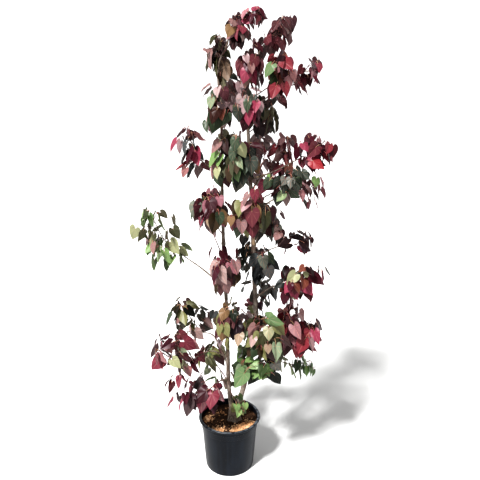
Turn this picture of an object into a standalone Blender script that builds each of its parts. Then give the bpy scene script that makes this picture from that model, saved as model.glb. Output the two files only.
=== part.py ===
"""A young redbud tree in a round nursery pot.

Two upright stems rise from one flared foot.  Boughs leave the stems and carry masses of hanging, heart-shaped
leaves.  Each mass is one solid: a stem of its own, twigs that branch from it by a seeded rule, and leaves
fused to both.  Metres, +Z up, the origin at the centre of the pot's flat underside.
"""
import math
from random import Random

import bmesh
import bpy
from mathutils import Vector
from mathutils.bvhtree import BVHTree

# ---- driving dimensions ------------------------------------------------------------------------------------
GAP = 0.0003             # clearance between pieces that touch
CUT = 0.00036            # growth of a faceted cutter that leaves GAP behind it

POT_HEIGHT = 0.260
BASE_RADIUS = 0.1187     # outside of the body at the floor
BODY_RADIUS = 0.1340     # outside of the body at the lower ledge
LEDGE_HEIGHTS = (0.205, 0.229)
LEDGE_STEP = 0.0028      # each ledge stands out this much further
LEDGE_RISE = 0.002       # over this height
RIM_RADIUS = 0.151
RIM_DEPTH = 0.011
RIM_BEVEL = 0.0033
WALL = 0.0022
COLLAR_WALL = 0.0035     # at the soil's edge
FOOT_ROUND = 0.006       # rounding where the body meets the underside
POT_SIDES = 32

SOIL_LEVEL = 0.232       # at the wall
SOIL_CROWN = 0.236       # the flat top round the trunk
SOIL_FLAT = 0.050

FORK_HEIGHT = 0.310      # the foot ends here in a flat fork
FOOT_CENTRE = 0.023      # the foot's axis along X
FOOT_TOP = (0.0265, 0.0155)      # half widths along X and Y at the fork
FOOT_FLARE = (0.037, 0.033)      # half widths on the soil
FOOT_SIDES = 15
FOOT_RINGS = 5
FLARE_POWER = 2.2        # how low the flare keeps
ROOT_LOBES = 5
LOBE_DEPTH = 0.16        # of the radius, on the soil
LOBE_TURN = 0.6
STEM_SIDES = 6
BOUGH_SIDES = 5

# Stems: waypoints from the fork to the tip, radius at the fork and at the tip, and how late the taper comes.
STEMS = {
    "left": {
        "way": ((0.010, 0.0, 0.31), (-0.003, 0.0, 0.42), (-0.006, -0.01, 0.61), (-0.013, 0.01, 0.86),
                (-0.023, 0.0, 1.15), (-0.027, 0.01, 1.39), (-0.027, 0.0, 1.71), (-0.039, 0.01, 1.84),
                (-0.033, 0.0, 1.91), (-0.004, 0.0, 1.97), (0.014, 0.0, 2.03), (0.040, 0.0, 2.062)),
        "radii": (0.0105, 0.0019), "taper": 1.0},
    "right": {
        "way": ((0.037, 0.0, 0.31), (0.072, 0.02, 0.41), (0.101, 0.03, 0.58), (0.128, 0.03, 0.75),
                (0.120, 0.03, 0.93), (0.112, 0.02, 1.14), (0.101, 0.02, 1.37), (0.089, 0.03, 1.60),
                (0.078, 0.03, 1.74), (0.094, 0.03, 1.85), (0.128, 0.02, 1.94), (0.160, 0.01, 1.985)),
        "radii": (0.0125, 0.0021), "taper": 1.5},
}

# Masses of foliage: centre, half sizes, number of leaves, size of the leaves against the full leaf, colour.
# A mass grows from the stem at the height given, or from the tip of the stem where that is None.
MASSES = {
    "leader_tip":        ((0.109, 0.00, 2.08), (0.064, 0.06, 0.043), 10, 0.78, "rose", "left", None),
    "left_top":          ((0.044, -0.07, 1.985), (0.064, 0.07, 0.057), 12, 0.80, "maroon", "left", 1.93),
    "left_shoulder":     ((-0.048, 0.05, 1.922), (0.064, 0.085, 0.108), 17, 0.90, "mauve", "left", 1.82),
    "left_upper":        ((-0.033, -0.09, 1.70), (0.068, 0.085, 0.105), 14, 0.95, "mauve", "left", 1.60),
    "right_leader":      ((0.093, -0.05, 1.876), (0.06, 0.075, 0.104), 16, 0.85, "maroon", "right", 1.79),
    "right_top":         ((0.20, 0.02, 2.005), (0.074, 0.085, 0.072), 14, 0.78, "maroon", "right", None),
    "right_upper":       ((0.196, -0.09, 1.828), (0.07, 0.08, 0.092), 14, 0.88, "crimson", "right", 1.75),
    "right_top_twig":    ((0.325, 0.04, 1.85), (0.078, 0.07, 0.066), 8, 0.85, "rose", "right", 1.70),
    "centre_upper":      ((0.08, -0.10, 1.71), (0.07, 0.075, 0.086), 14, 0.88, "deep_green", "right", 1.66),
    "right_small":       ((0.18, 0.07, 1.66), (0.062, 0.08, 0.105), 12, 0.95, "deep_green", "right", 1.62),
    "left_middle":       ((-0.02, -0.06, 1.515), (0.062, 0.085, 0.13), 16, 0.85, "olive", "left", 1.46),
    "left_twig":         ((-0.17, 0.02, 1.535), (0.078, 0.075, 0.108), 10, 0.90, "crimson", "left", 1.44),
    "centre_middle":     ((0.06, -0.13, 1.465), (0.07, 0.085, 0.118), 16, 0.90, "deep_green", "right", 1.40),
    "right_crown_inner": ((0.22, 0.05, 1.50), (0.092, 0.10, 0.112), 17, 0.95, "crimson", "right", 1.36),
    "right_crown_outer": ((0.36, -0.10, 1.545), (0.084, 0.085, 0.08), 14, 0.85, "crimson", "right", 1.42),
    "right_middle":      ((0.22, -0.17, 1.41), (0.09, 0.085, 0.078), 14, 0.80, "deep_green", "right", 1.31),
    "right_mid_outer":   ((0.365, 0.10, 1.35), (0.086, 0.085, 0.084), 12, 0.82, "rose", "right", 1.26),
    "band_left":         ((-0.08, -0.08, 1.285), (0.092, 0.10, 0.112), 19, 0.90, "mauve", "left", 1.17),
    "band_front":        ((0.09, -0.20, 1.295), (0.09, 0.09, 0.096), 16, 0.90, "olive", "right", 1.20),
    "band_back":         ((0.17, 0.20, 1.225), (0.11, 0.11, 0.112), 14, 1.00, "deep_green", "right", 1.08),
    "right_small_twig":  ((0.295, -0.06, 1.165), (0.076, 0.075, 0.084), 10, 0.80, "maroon", "right", 1.05),
    "centre_low":        ((0.136, 0.00, 1.035), (0.114, 0.095, 0.097), 14, 0.75, "deep_green", "right", 0.98),
    "far_left":          ((-0.298, -0.04, 1.165), (0.146, 0.11, 0.142), 26, 0.78, "leaf_green", "left", 0.91),
    "left_stem_mid":     ((-0.01, -0.06, 1.03), (0.074, 0.09, 0.118), 16, 0.90, "maroon", "left", 0.97),
    "left_stem_low":     ((0.01, -0.09, 0.79), (0.078, 0.09, 0.104), 16, 0.85, "olive", "left", 0.72),
    "left_low_upper":    ((-0.19, 0.10, 0.73), (0.112, 0.11, 0.112), 17, 0.85, "mauve", "left", 0.53),
    "left_low_outer":    ((-0.24, -0.12, 0.63), (0.122, 0.115, 0.132), 20, 0.85, "crimson", "left", 0.57),
    "left_low_inner":    ((-0.082, 0.07, 0.507), (0.075, 0.09, 0.125), 14, 0.85, "olive", "left", 0.44),
    "left_bottom":       ((-0.15, -0.13, 0.44), (0.126, 0.10, 0.08), 14, 0.90, "rose", "left", 0.46),
    "right_low_mid":     ((0.33, -0.10, 1.00), (0.134, 0.095, 0.084), 18, 0.85, "maroon", "right", 0.86),
    "centre_low_in":     ((0.17, 0.14, 0.85), (0.08, 0.085, 0.076), 10, 0.80, "deep_green", "right", 0.81),
    "right_bush_upper":  ((0.345, 0.03, 0.705), (0.106, 0.105, 0.139), 19, 0.95, "olive", "right", 0.72),
    "right_bush_inner":  ((0.15, -0.12, 0.72), (0.088, 0.09, 0.112), 16, 0.90, "rose", "right", 0.64),
    "right_bush_lower":  ((0.14, -0.10, 0.56), (0.115, 0.10, 0.108), 17, 0.95, "leaf_green", "right", 0.47),
    "right_low_twig":    ((0.36, 0.08, 0.495), (0.084, 0.075, 0.072), 9, 0.80, "crimson", "right", 0.51),
    "foot_leaves":       ((0.04, -0.06, 0.345), (0.045, 0.04, 0.07), 6, 0.60, "leaf_green", "left", 0.40),
    "back_upper":        ((0.03, 0.20, 1.78), (0.092, 0.095, 0.108), 12, 0.95, "mauve", "left", 1.66),
    "back_middle":       ((0.12, 0.25, 1.49), (0.11, 0.10, 0.11), 14, 0.95, "crimson", "right", 1.40),
    "back_low":          ((0.08, 0.22, 0.64), (0.118, 0.11, 0.12), 14, 0.95, "olive", "right", 0.53),
    "left_back":         ((-0.10, 0.24, 1.20), (0.10, 0.105, 0.112), 12, 0.95, "mauve", "left", 1.05),
}

# Boughs: the mass each one carries, its radius at the stem, and how far it arches up (+) or sags.
BOUGHS = {
    "right_top_twig": (0.0030, 0.015), "left_twig": (0.0030, 0.000), "right_crown_inner": (0.0042, 0.020),
    "right_crown_outer": (0.0042, -0.010), "right_mid_outer": (0.0040, 0.030), "band_back": (0.0042, 0.010),
    "right_small_twig": (0.0032, 0.010), "far_left": (0.0050, 0.010), "left_low_upper": (0.0042, 0.060),
    "left_low_outer": (0.0042, 0.035), "left_bottom": (0.0034, 0.010), "right_low_mid": (0.0046, 0.020),
    "right_bush_upper": (0.0042, -0.010), "right_low_twig": (0.0032, 0.030), "back_middle": (0.0040, 0.010),
}
BOUGH_TIP_RADIUS = 0.0019
BOUGH_REACH = 0.80       # a bough ends at this share of its mass's half size from the centre

LEAF_LENGTH = 0.096      # a full leaf's blade
LEAF_WIDTH = 0.088
STALK_LENGTH = 0.026
LEAF_WIDEST = 0.42       # where it is widest, as a share of the way from its root to its tip
LEAF_THICKNESS = 0.0030  # at its widest
MASS_STEM_RADII = (0.0028, 0.0021)      # of a three-sided limb, out to its corners
TWIG_RADII = (0.0014, 0.0013)
LEAF_SIZES = (0.75, 1.10)        # of single leaves against the mass's leaf size
LEAF_REACH = 1.22        # leaf tips hang out this far past the mass's ellipsoid, 1 being its size
LEAF_SPACING = 0.015     # between leaf places along a twig
SHORTEST_TWIG = 0.020
STRAIGHT_START = 0.012   # a mass's stem runs on straight from a tip for this far
LEAST_STRAIGHT = 0.6     # cosine of the sharpest bend in a mass's stem
STEM_PAST = 0.55         # it runs past the mass's centre by this share of the least half size,
STEM_RISE = 0.30         # ends this share of the half height above the centre,
STEM_WANDER = 0.25       # and wanders by up to this share
STEM_TRIES = 200
ROOT_ROOM = 0.003        # a twig or leaf takes root at least this far from any other limb
GOLDEN_ANGLE = math.radians(137.5)
LEAVES_A_TWIG = 5        # one twig for so many leaves, and two more
TWIG_FIRST = 0.4         # the first twig's place, as a share of the way between two
TWIG_LEAN = (0.45, 0.30)         # of a twig along its stem and upwards, against 1 outwards
TWIG_REACH = (0.85, 1.10)        # share of the mass's mean half size
TIP_SETBACK = 0.0020     # of a leaf at a twig's end
SPARE = 0.0012           # a new leaf or twig keeps at least this from what already stands
OWN_MARGIN = 0.03        # share of a mass's half size kept free at its border with the next
LEAF_TRIES = 8           # poses tried at each place in a round
LEAF_ROUNDS = 4
LEAF_SHRINK = 0.90       # the leaves of each round against those of the round before
SEED = 41

COLOURS = {
    "pot_black": (0.018, 0.021, 0.026), "soil_brown": (0.048, 0.024, 0.012), "bark": (0.130, 0.092, 0.068),
    "rose": (0.46, 0.085, 0.130), "maroon": (0.110, 0.012, 0.020), "crimson": (0.270, 0.018, 0.026),
    "mauve": (0.250, 0.130, 0.130), "olive": (0.150, 0.150, 0.045), "leaf_green": (0.160, 0.310, 0.080),
    "deep_green": (0.020, 0.045, 0.016),
}
ROUGHNESS = {"pot_black": 0.38, "soil_brown": 0.95, "bark": 0.80}
LEAF_ROUGHNESS = 0.45
UP = Vector((0.0, 0.0, 1.0))


# ---- shapes ------------------------------------------------------------------------------------------------
def smooth_curve(points, steps):
    """Points on a Catmull-Rom curve through the waypoints, with the given number of steps between two."""
    way = [Vector(p) for p in points]
    way = [2.0 * way[0] - way[1]] + way + [2.0 * way[-1] - way[-2]]
    curve = []
    for a, b, c, d in zip(way, way[1:], way[2:], way[3:]):
        for i in range(steps):
            t = i / steps
            curve.append(0.5 * (2.0 * b + (c - a) * t + (2.0 * a - 5.0 * b + 4.0 * c - d) * t * t
                                + (3.0 * b - a - 3.0 * c + d) * t * t * t))
    curve.append(way[-2])
    return curve


def tapered(count, radii, power=1.0):
    """Radii from the first value to the second along a limb."""
    start, end = radii
    return [start + (end - start) * (i / (count - 1)) ** power for i in range(count)]


def tube(points, radii, sides, level_start=False):
    """A closed limb: a ring at each point, square to the limb, with flat ends."""
    verts = []
    side = None
    for i, point in enumerate(points):
        ahead = points[min(i + 1, len(points) - 1)] - points[max(i - 1, 0)]
        along = UP.copy() if level_start and i == 0 else ahead.normalized()
        if side is None:
            side = along.orthogonal()
        side = (side - along * side.dot(along)).normalized()
        other = along.cross(side)
        for k in range(sides):
            turn = math.tau * k / sides
            verts.append(point + radii[i] * (math.cos(turn) * side + math.sin(turn) * other))
    faces = [tuple(range(sides))[::-1], tuple(range(len(verts) - sides, len(verts)))]
    for i in range(len(points) - 1):
        for k in range(sides):
            a = i * sides + k
            b = i * sides + (k + 1) % sides
            faces.append((a, b, b + sides, a + sides))
    return verts, faces


def leaf(root, along, across, size, spare=0.0):
    """A leaf with its stalk: a thin closed solid of four faces, widest between its root and its tip."""
    length = (STALK_LENGTH + LEAF_LENGTH) * size
    half = 0.5 * LEAF_WIDTH * size + spare
    face = across.cross(along)
    wide = root + along * length * LEAF_WIDEST + face * (LEAF_THICKNESS * size + spare)
    back = face * spare
    verts = [root + along * 4.0 * spare - back, wide - across * half, wide + across * half,
             root + along * (length + spare) - back]
    return verts, [(0, 1, 2), (2, 1, 3), (1, 0, 3), (0, 2, 3)]


def tree_of(solids):
    """One search tree over the faces of several solids."""
    verts, faces = [], []
    for solid_verts, solid_faces in solids:
        base = len(verts)
        verts += solid_verts
        faces += [tuple(base + i for i in face) for face in solid_faces]
    return BVHTree.FromPolygons(verts, faces)


# ---- objects -----------------------------------------------------------------------------------------------
def material(name):
    made = bpy.data.materials.get(name)
    if made is None:
        made = bpy.data.materials.new(name)
        made.use_nodes = True
        shader = made.node_tree.nodes["Principled BSDF"]
        shader.inputs["Base Color"].default_value = (*COLOURS[name], 1.0)
        shader.inputs["Roughness"].default_value = ROUGHNESS.get(name, LEAF_ROUGHNESS)
        shader.inputs["Metallic"].default_value = 0.0
    return made


def add_object(name, solid, colour, collection=None):
    mesh = bpy.data.meshes.new(name)
    mesh.from_pydata(solid[0], [], solid[1])
    tidy = bmesh.new()
    tidy.from_mesh(mesh)
    bmesh.ops.recalc_face_normals(tidy, faces=tidy.faces)
    tidy.to_mesh(mesh)
    tidy.free()
    mesh.materials.append(material(colour))
    made = bpy.data.objects.new(name, mesh)
    (collection or bpy.context.scene.collection).objects.link(made)
    return made


def is_closed(mesh):
    shape = bmesh.new()
    shape.from_mesh(mesh)
    closed = len(shape.edges) > 0 and all(edge.is_manifold for edge in shape.edges)
    shape.free()
    return closed


def boolean(target, operation, others):
    """Fuses or cuts the target with all the others at once, applies it, and removes the others."""
    group = bpy.data.collections.new("operands")
    for other in others:
        group.objects.link(other)
    step = target.modifiers.new("boolean", "BOOLEAN")
    step.operation = operation
    step.operand_type = "COLLECTION"
    step.collection = group
    for solver in ("EXACT", "MANIFOLD"):
        step.solver = solver
        graph = bpy.context.evaluated_depsgraph_get()
        done = bpy.data.meshes.new_from_object(target.evaluated_get(graph))
        if is_closed(done):
            break
        print("    ", target.name, solver, "left open edges")
    target.modifiers.clear()
    target.data = done
    for other in others:
        bpy.data.objects.remove(other)
    bpy.data.collections.remove(group)


def keep_largest(target):
    """Drops loose scraps and sealed hollows: only the largest closed body stays."""
    shape = bmesh.new()
    shape.from_mesh(target.data)
    left = set(shape.verts)
    bodies = []
    while left:
        body = {left.pop()}
        edge = list(body)
        while edge:
            for link in edge.pop().link_edges:
                for vert in link.verts:
                    if vert in left:
                        left.discard(vert)
                        body.add(vert)
                        edge.append(vert)
        bodies.append(body)
    bodies.sort(key=len, reverse=True)
    extra = [vert for body in bodies[1:] for vert in body]
    bmesh.ops.delete(shape, geom=extra, context="VERTS")
    shape.to_mesh(target.data)
    shape.free()


# ---- pot and soil ------------------------------------------------------------------------------------------
def body_radius(z):
    return BASE_RADIUS + (BODY_RADIUS - BASE_RADIUS) * z / LEDGE_HEIGHTS[0]


def turned(name, profile, colour):
    """A closed solid turned about the Z axis from a profile that runs from axis to axis."""
    verts, faces = [Vector((0.0, 0.0, profile[0][1])), Vector((0.0, 0.0, profile[-1][1]))], []
    for radius, z in profile[1:-1]:
        for k in range(POT_SIDES):
            turn = math.tau * k / POT_SIDES
            verts.append(Vector((radius * math.cos(turn), radius * math.sin(turn), z)))
    rings = len(profile) - 2
    for k in range(POT_SIDES):
        after = (k + 1) % POT_SIDES
        faces.append((0, 2 + k, 2 + after))
        for ring in range(rings - 1):
            a = 2 + ring * POT_SIDES
            faces.append((a + k, a + POT_SIDES + k, a + POT_SIDES + after, a + after))
        last = 2 + (rings - 1) * POT_SIDES
        faces.append((1, last + after, last + k))
    return add_object(name, (verts, faces), colour)


def build_pot():
    """Thin-walled body with two ledges under the collar and a rolled rim, on a flat underside."""
    low, high = LEDGE_HEIGHTS
    upper = BODY_RADIUS + LEDGE_STEP
    collar = BODY_RADIUS + 2.0 * LEDGE_STEP
    rim_low = POT_HEIGHT - RIM_DEPTH
    outside = [(0.0, 0.0), (BASE_RADIUS - FOOT_ROUND, 0.0),
               (BASE_RADIUS - 0.29 * FOOT_ROUND, 0.29 * FOOT_ROUND),
               (body_radius(FOOT_ROUND), FOOT_ROUND), (BODY_RADIUS, low), (upper, low + LEDGE_RISE),
               (upper, high), (collar, high + LEDGE_RISE), (collar, rim_low),
               (RIM_RADIUS - RIM_BEVEL, rim_low), (RIM_RADIUS, rim_low + RIM_BEVEL),
               (RIM_RADIUS, POT_HEIGHT - RIM_BEVEL), (RIM_RADIUS - RIM_BEVEL, POT_HEIGHT)]
    inside = [(collar - WALL, POT_HEIGHT), (collar - COLLAR_WALL, SOIL_LEVEL), (body_radius(low) - WALL, low),
              (BASE_RADIUS - WALL, FOOT_ROUND), (0.0, FOOT_ROUND - 0.5 * WALL)]
    return turned("pot", outside + inside, "pot_black")


def build_soil():
    """The potting mix, filling the pot, a little higher round the trunk."""
    floor = FOOT_ROUND + GAP
    edge = BODY_RADIUS + 2.0 * LEDGE_STEP - COLLAR_WALL
    profile = [(0.0, floor), (BASE_RADIUS - WALL - 2.0 * GAP, floor),
               (BODY_RADIUS - WALL - 2.0 * GAP, LEDGE_HEIGHTS[0]), (edge - 3.0 * GAP, SOIL_LEVEL - 0.001),
               (SOIL_FLAT, SOIL_CROWN), (0.0, SOIL_CROWN)]
    return turned("soil", profile, "soil_brown")


# ---- limbs -------------------------------------------------------------------------------------------------
def build_foot():
    """The trunk's foot: lobed where it flares over the soil, narrow at the fork, cut flat at both ends."""
    bottom = SOIL_CROWN + GAP
    points = []
    for ring in range(FOOT_RINGS):
        rise = ring / (FOOT_RINGS - 1)
        spread = (1.0 - rise) ** FLARE_POWER
        for k in range(FOOT_SIDES):
            turn = math.tau * k / FOOT_SIDES
            lobe = 1.0 + LOBE_DEPTH * spread * math.cos(ROOT_LOBES * turn + LOBE_TURN)
            x = (FOOT_TOP[0] + (FOOT_FLARE[0] - FOOT_TOP[0]) * spread) * lobe * math.cos(turn)
            y = (FOOT_TOP[1] + (FOOT_FLARE[1] - FOOT_TOP[1]) * spread) * lobe * math.sin(turn)
            points.append(Vector((FOOT_CENTRE + x, y, bottom + (FORK_HEIGHT - GAP - bottom) * rise)))
    faces = [tuple(range(FOOT_SIDES))[::-1], tuple(range(len(points) - FOOT_SIDES, len(points)))]
    for ring in range(FOOT_RINGS - 1):
        for k in range(FOOT_SIDES):
            a = ring * FOOT_SIDES + k
            b = ring * FOOT_SIDES + (k + 1) % FOOT_SIDES
            faces.append((a, b, b + FOOT_SIDES, a + FOOT_SIDES))
    return points, faces


def stem_line(name):
    spec = STEMS[name]
    points = smooth_curve(spec["way"], 2)
    return points, tapered(len(points), spec["radii"], spec["taper"])


def on_stem(name, height):
    """The stem's axis point and radius at a height."""
    points, radii = stem_line(name)
    for a, b, ra, rb in zip(points, points[1:], radii, radii[1:]):
        if a.z <= height <= b.z:
            t = (height - a.z) / (b.z - a.z)
            return a.lerp(b, t), ra + (rb - ra) * t
    return points[-1], radii[-1]


def bough_line(mass):
    """A bough's axis: out of the stem, arching, into the edge of the mass that it carries."""
    centre, half, _, _, _, stem, height = MASSES[mass]
    radius, arch = BOUGHS[mass]
    start, _ = on_stem(stem, height)
    centre = Vector(centre)
    away = centre - start
    share = Vector([away[i] / half[i] for i in range(3)]).length
    tip = centre - away * (BOUGH_REACH / share)
    middle = start.lerp(tip, 0.5) + UP * arch
    points = smooth_curve((start, middle, tip), 2)
    return points, tapered(len(points), (radius, BOUGH_TIP_RADIUS))


def in_own_space(point, mass, reach=1.0):
    """True within the mass's ellipsoid, or that many times its size, and nearer to it than to any other."""
    def depth(centre, half):
        return math.sqrt(sum(((point[i] - centre[i]) / half[i]) ** 2 for i in range(3)))

    own = depth(*MASSES[mass][:2])
    if own > reach:
        return False
    return all(depth(*spec[:2]) > own + OWN_MARGIN for name, spec in MASSES.items() if name != mass)


def has_room(limb_tree, walls, point, room):
    """True outside every limb, and at least so far from each solid."""
    near, normal, _, _ = limb_tree.find_nearest(point)
    return (point - near).dot(normal) > 0.0 and walls.find_nearest(point)[3] > room


def mass_stem_line(mass, walls, rng):
    """The mass's own stem: from its bough's tip or the stem, through the middle, to the far side."""
    centre, half, _, _, _, stem, height = MASSES[mass]
    centre = Vector(centre)
    from_tip = mass in BOUGHS or height is None
    if from_tip:
        points, _ = bough_line(mass) if mass in BOUGHS else stem_line(stem)
        ahead = (points[-1] - points[-2]).normalized()
        start = points[-1] + ahead * GAP
        way = [start, start + ahead * STRAIGHT_START]
    else:
        start, _ = on_stem(stem, height)
        way = [start]
    far = centre + (centre - start).normalized() * min(half) * STEM_PAST + UP * half[2] * STEM_RISE
    for _ in range(STEM_TRIES):
        bends = [Vector([rng.uniform(-STEM_WANDER, STEM_WANDER) * size for size in half]) for _ in range(2)]
        points = smooth_curve(way + [centre + bends[0], far + bends[1]], 1)
        radii = tapered(len(points), MASS_STEM_RADII)
        runs = [(b - a).normalized() for a, b in zip(points, points[1:])]
        probe = [points[0].lerp(points[1], 0.4)] + points[1:]
        if min(a.dot(b) for a, b in zip(runs, runs[1:])) < LEAST_STRAIGHT:
            continue
        if not walls.overlap(tree_of([tube(probe, [r + SPARE for r in radii], 3)])):
            break
    return points, radii


# ---- twigs and leaves --------------------------------------------------------------------------------------
def twig_lines(mass, inside, rng):
    """Twigs that leave the mass's stem by turns, a golden angle apart, and reach towards its border."""
    half, leaves = MASSES[mass][1:3]
    twigs = []
    count = 2 + leaves // LEAVES_A_TWIG
    turn = rng.uniform(0.0, math.tau)
    for i in range(count):
        at = (i + TWIG_FIRST) / count * (len(inside) - 1)
        low = min(int(at), len(inside) - 2)
        start = inside[low].lerp(inside[low + 1], at - low)
        along = (inside[low + 1] - inside[low]).normalized()
        side = along.orthogonal().normalized()
        turn += GOLDEN_ANGLE
        outward = math.cos(turn) * side + math.sin(turn) * along.cross(side)
        lead = (outward + TWIG_LEAN[0] * along + TWIG_LEAN[1] * UP).normalized()
        reach = sum(half) / 3.0 * rng.uniform(*TWIG_REACH)
        while reach > SHORTEST_TWIG and not in_own_space(start + lead * reach, mass):
            reach *= 0.9
        if reach > SHORTEST_TWIG:
            twigs.append([start, start + lead * reach])
    return twigs


def leaf_places(lines):
    """Places for leaves along the lines: point, direction of the twig, side by turns (none at its tip)."""
    places = []
    for line in lines:
        along = (line[-1] - line[-2]).normalized()
        places.append((line[-1] - along * TIP_SETBACK, along, 0.0))
        side = 1.0
        for a, b in zip(line, line[1:]):
            steps = max(int((b - a).length / LEAF_SPACING), 1)
            for i in range(steps):
                places.append((a.lerp(b, (i + 0.5) / steps), (b - a).normalized(), side))
                side = -side
    return places


def leaf_pose(place, stem_axis, size, rng):
    """A leaf at a place: its root, the way to its tip, the direction across it, and its size."""
    point, along, side = place
    outward = point - stem_axis
    outward.z = 0.0
    outward = outward.normalized() if outward.length > 1e-4 else Vector((1.0, 0.0, 0.0))
    level = along.cross(UP)
    level = level.normalized() if level.length > 1e-3 else outward.orthogonal().normalized()
    jitter = Vector([rng.uniform(-1.0, 1.0) for _ in range(3)])
    out = (along * (0.5 if side else 1.0) + level * side + UP * 0.25 + jitter * 0.6).normalized()
    hang = (out * rng.uniform(0.3, 1.0) - UP * rng.uniform(0.5, 1.1)).normalized()
    facing = outward * 0.5 + UP * 0.3 + Vector([rng.uniform(-1.0, 1.0) for _ in range(3)])
    return point, hang, hang.cross(facing).normalized(), size * rng.uniform(*LEAF_SIZES)


def grow_mass(mass, stem_points, limb_tree, walls, rng):
    """Twigs and leaves of one mass, each kept only where it has room, the leaves spread evenly."""
    centre, _, wanted, size, _, stem, _ = MASSES[mass]
    inside = [point for point in stem_points if in_own_space(point, mass)]
    if len(inside) < 2:
        inside = stem_points[-2:]
    solids, lines = [], [inside]
    for line in twig_lines(mass, inside, rng):
        probe = tube([line[0].lerp(line[1], 0.1), line[1]], [r + SPARE for r in TWIG_RADII], 3)
        if has_room(limb_tree, walls, line[0], ROOT_ROOM) and not walls.overlap(tree_of([probe])):
            solids.append(tube(line, TWIG_RADII, 3))
            lines.append(line)
    axis, _ = on_stem(stem, centre[2])
    leaves, own_trees, middles = [], [], []
    places = [place for place in leaf_places(lines) if has_room(limb_tree, walls, place[0], ROOT_ROOM)]
    for turn in range(LEAF_ROUNDS):
        choices = []
        for number, place in enumerate(places):
            for _ in range(LEAF_TRIES):
                pose = leaf_pose(place, axis, size * LEAF_SHRINK ** turn, rng)
                verts, _ = leaf(*pose, spare=SPARE)
                middle = (verts[1] + verts[2] + verts[3]) / 3.0
                if in_own_space(middle, mass) and all(in_own_space(v, mass, LEAF_REACH) for v in verts[1:]):
                    clear = min([(middle - other).length for other in middles], default=1.0)
                    choices.append([clear, number, pose, middle])
        while choices and len(leaves) < wanted:
            best = max(choices, key=lambda choice: choice[0])
            choices.remove(best)
            _, number, pose, middle = best
            probe = tree_of([leaf(*pose, spare=SPARE)])
            if walls.overlap(probe) or any(probe.overlap(tree) for tree in own_trees):
                continue
            leaves.append(leaf(*pose))
            own_trees.append(tree_of(leaves[-1:]))
            middles.append(middle)
            places[number] = None
            choices = [choice for choice in choices if choice[1] != number]
            for choice in choices:
                choice[0] = min(choice[0], (choice[3] - middle).length)
        places = [place for place in places if place]
    return solids, leaves


# ---- assembly ----------------------------------------------------------------------------------------------
def main():
    for old in list(bpy.data.objects):
        bpy.data.objects.remove(old)
    build_pot()
    build_soil()
    foot = build_foot()
    add_object("trunk_foot", foot, "bark")
    limbs = [foot]
    cutters = {}
    for name in STEMS:
        points, radii = stem_line(name)
        solid = tube(points, radii, STEM_SIDES, level_start=True)
        cutters[name] = tube(points, [r + CUT for r in radii], STEM_SIDES, level_start=True)
        add_object(name + "_stem", solid, "bark")
        limbs.append(solid)
    for mass in BOUGHS:
        points, radii = bough_line(mass)
        solid = tube(points, radii, BOUGH_SIDES)
        bough = add_object("bough_" + mass, solid, "bark")
        boolean(bough, "DIFFERENCE", [add_object("cutter", cutters[MASSES[mass][5]], "bark")])
        keep_largest(bough)
        limbs.append(solid)

    stems, stem_points = {}, {}
    for number, mass in enumerate(MASSES):
        rng = Random(SEED * 1000 + number)
        points, radii = mass_stem_line(mass, tree_of(limbs + list(stems.values())), rng)
        stems[mass] = tube(points, radii, 3)
        stem_points[mass] = points
    limb_tree = tree_of(limbs)
    finished = []
    for number, mass in enumerate(MASSES):
        rng = Random(SEED * 2000 + number)
        walls = tree_of(limbs + [s for name, s in stems.items() if name != mass] + finished)
        twigs, leaves = grow_mass(mass, stem_points[mass], limb_tree, walls, rng)
        finished += twigs + leaves
        body = add_object("leaves_" + mass, stems[mass], MASSES[mass][4])
        if mass not in BOUGHS and MASSES[mass][6] is not None:
            boolean(body, "DIFFERENCE", [add_object("cutter", cutters[MASSES[mass][5]], "bark")])
            keep_largest(body)
        pieces = [add_object("piece", solid, MASSES[mass][4]) for solid in twigs + leaves]
        boolean(body, "UNION", pieces)
        keep_largest(body)
        print(mass, "twigs", len(twigs), "leaves", len(leaves), "of", MASSES[mass][2])


main()
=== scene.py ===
"""A young redbud tree in a nursery pot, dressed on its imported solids.

The sections follow the plant as it stands: the studio, the pot, the potting mix, the woody limbs, and then
the masses of foliage with their twigs, leaf stalks and leaves.  Metres, +Z up.
"""
import math
from functools import cache
from random import Random

import bmesh
import bpy
from mathutils import Matrix, Vector, noise
from mathutils.bvhtree import BVHTree


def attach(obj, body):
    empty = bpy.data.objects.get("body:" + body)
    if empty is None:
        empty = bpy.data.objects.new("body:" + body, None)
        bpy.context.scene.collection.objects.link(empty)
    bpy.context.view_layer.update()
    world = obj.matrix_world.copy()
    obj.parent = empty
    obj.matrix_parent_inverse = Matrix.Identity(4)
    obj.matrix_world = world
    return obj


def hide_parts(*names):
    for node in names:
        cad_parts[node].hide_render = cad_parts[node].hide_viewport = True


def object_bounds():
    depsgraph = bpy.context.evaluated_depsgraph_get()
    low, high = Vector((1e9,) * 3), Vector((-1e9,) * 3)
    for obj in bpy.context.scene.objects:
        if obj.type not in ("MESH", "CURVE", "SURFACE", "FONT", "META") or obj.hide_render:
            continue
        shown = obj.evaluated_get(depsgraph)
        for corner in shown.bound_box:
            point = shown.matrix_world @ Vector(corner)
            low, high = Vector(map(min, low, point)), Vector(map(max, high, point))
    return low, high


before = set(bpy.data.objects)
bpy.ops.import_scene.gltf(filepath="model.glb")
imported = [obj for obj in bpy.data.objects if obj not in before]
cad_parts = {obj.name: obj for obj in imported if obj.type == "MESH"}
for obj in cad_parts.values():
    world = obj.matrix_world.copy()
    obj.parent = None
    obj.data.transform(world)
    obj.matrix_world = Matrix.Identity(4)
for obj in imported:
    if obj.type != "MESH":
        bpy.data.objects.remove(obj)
cad_low, cad_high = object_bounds()

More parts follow.
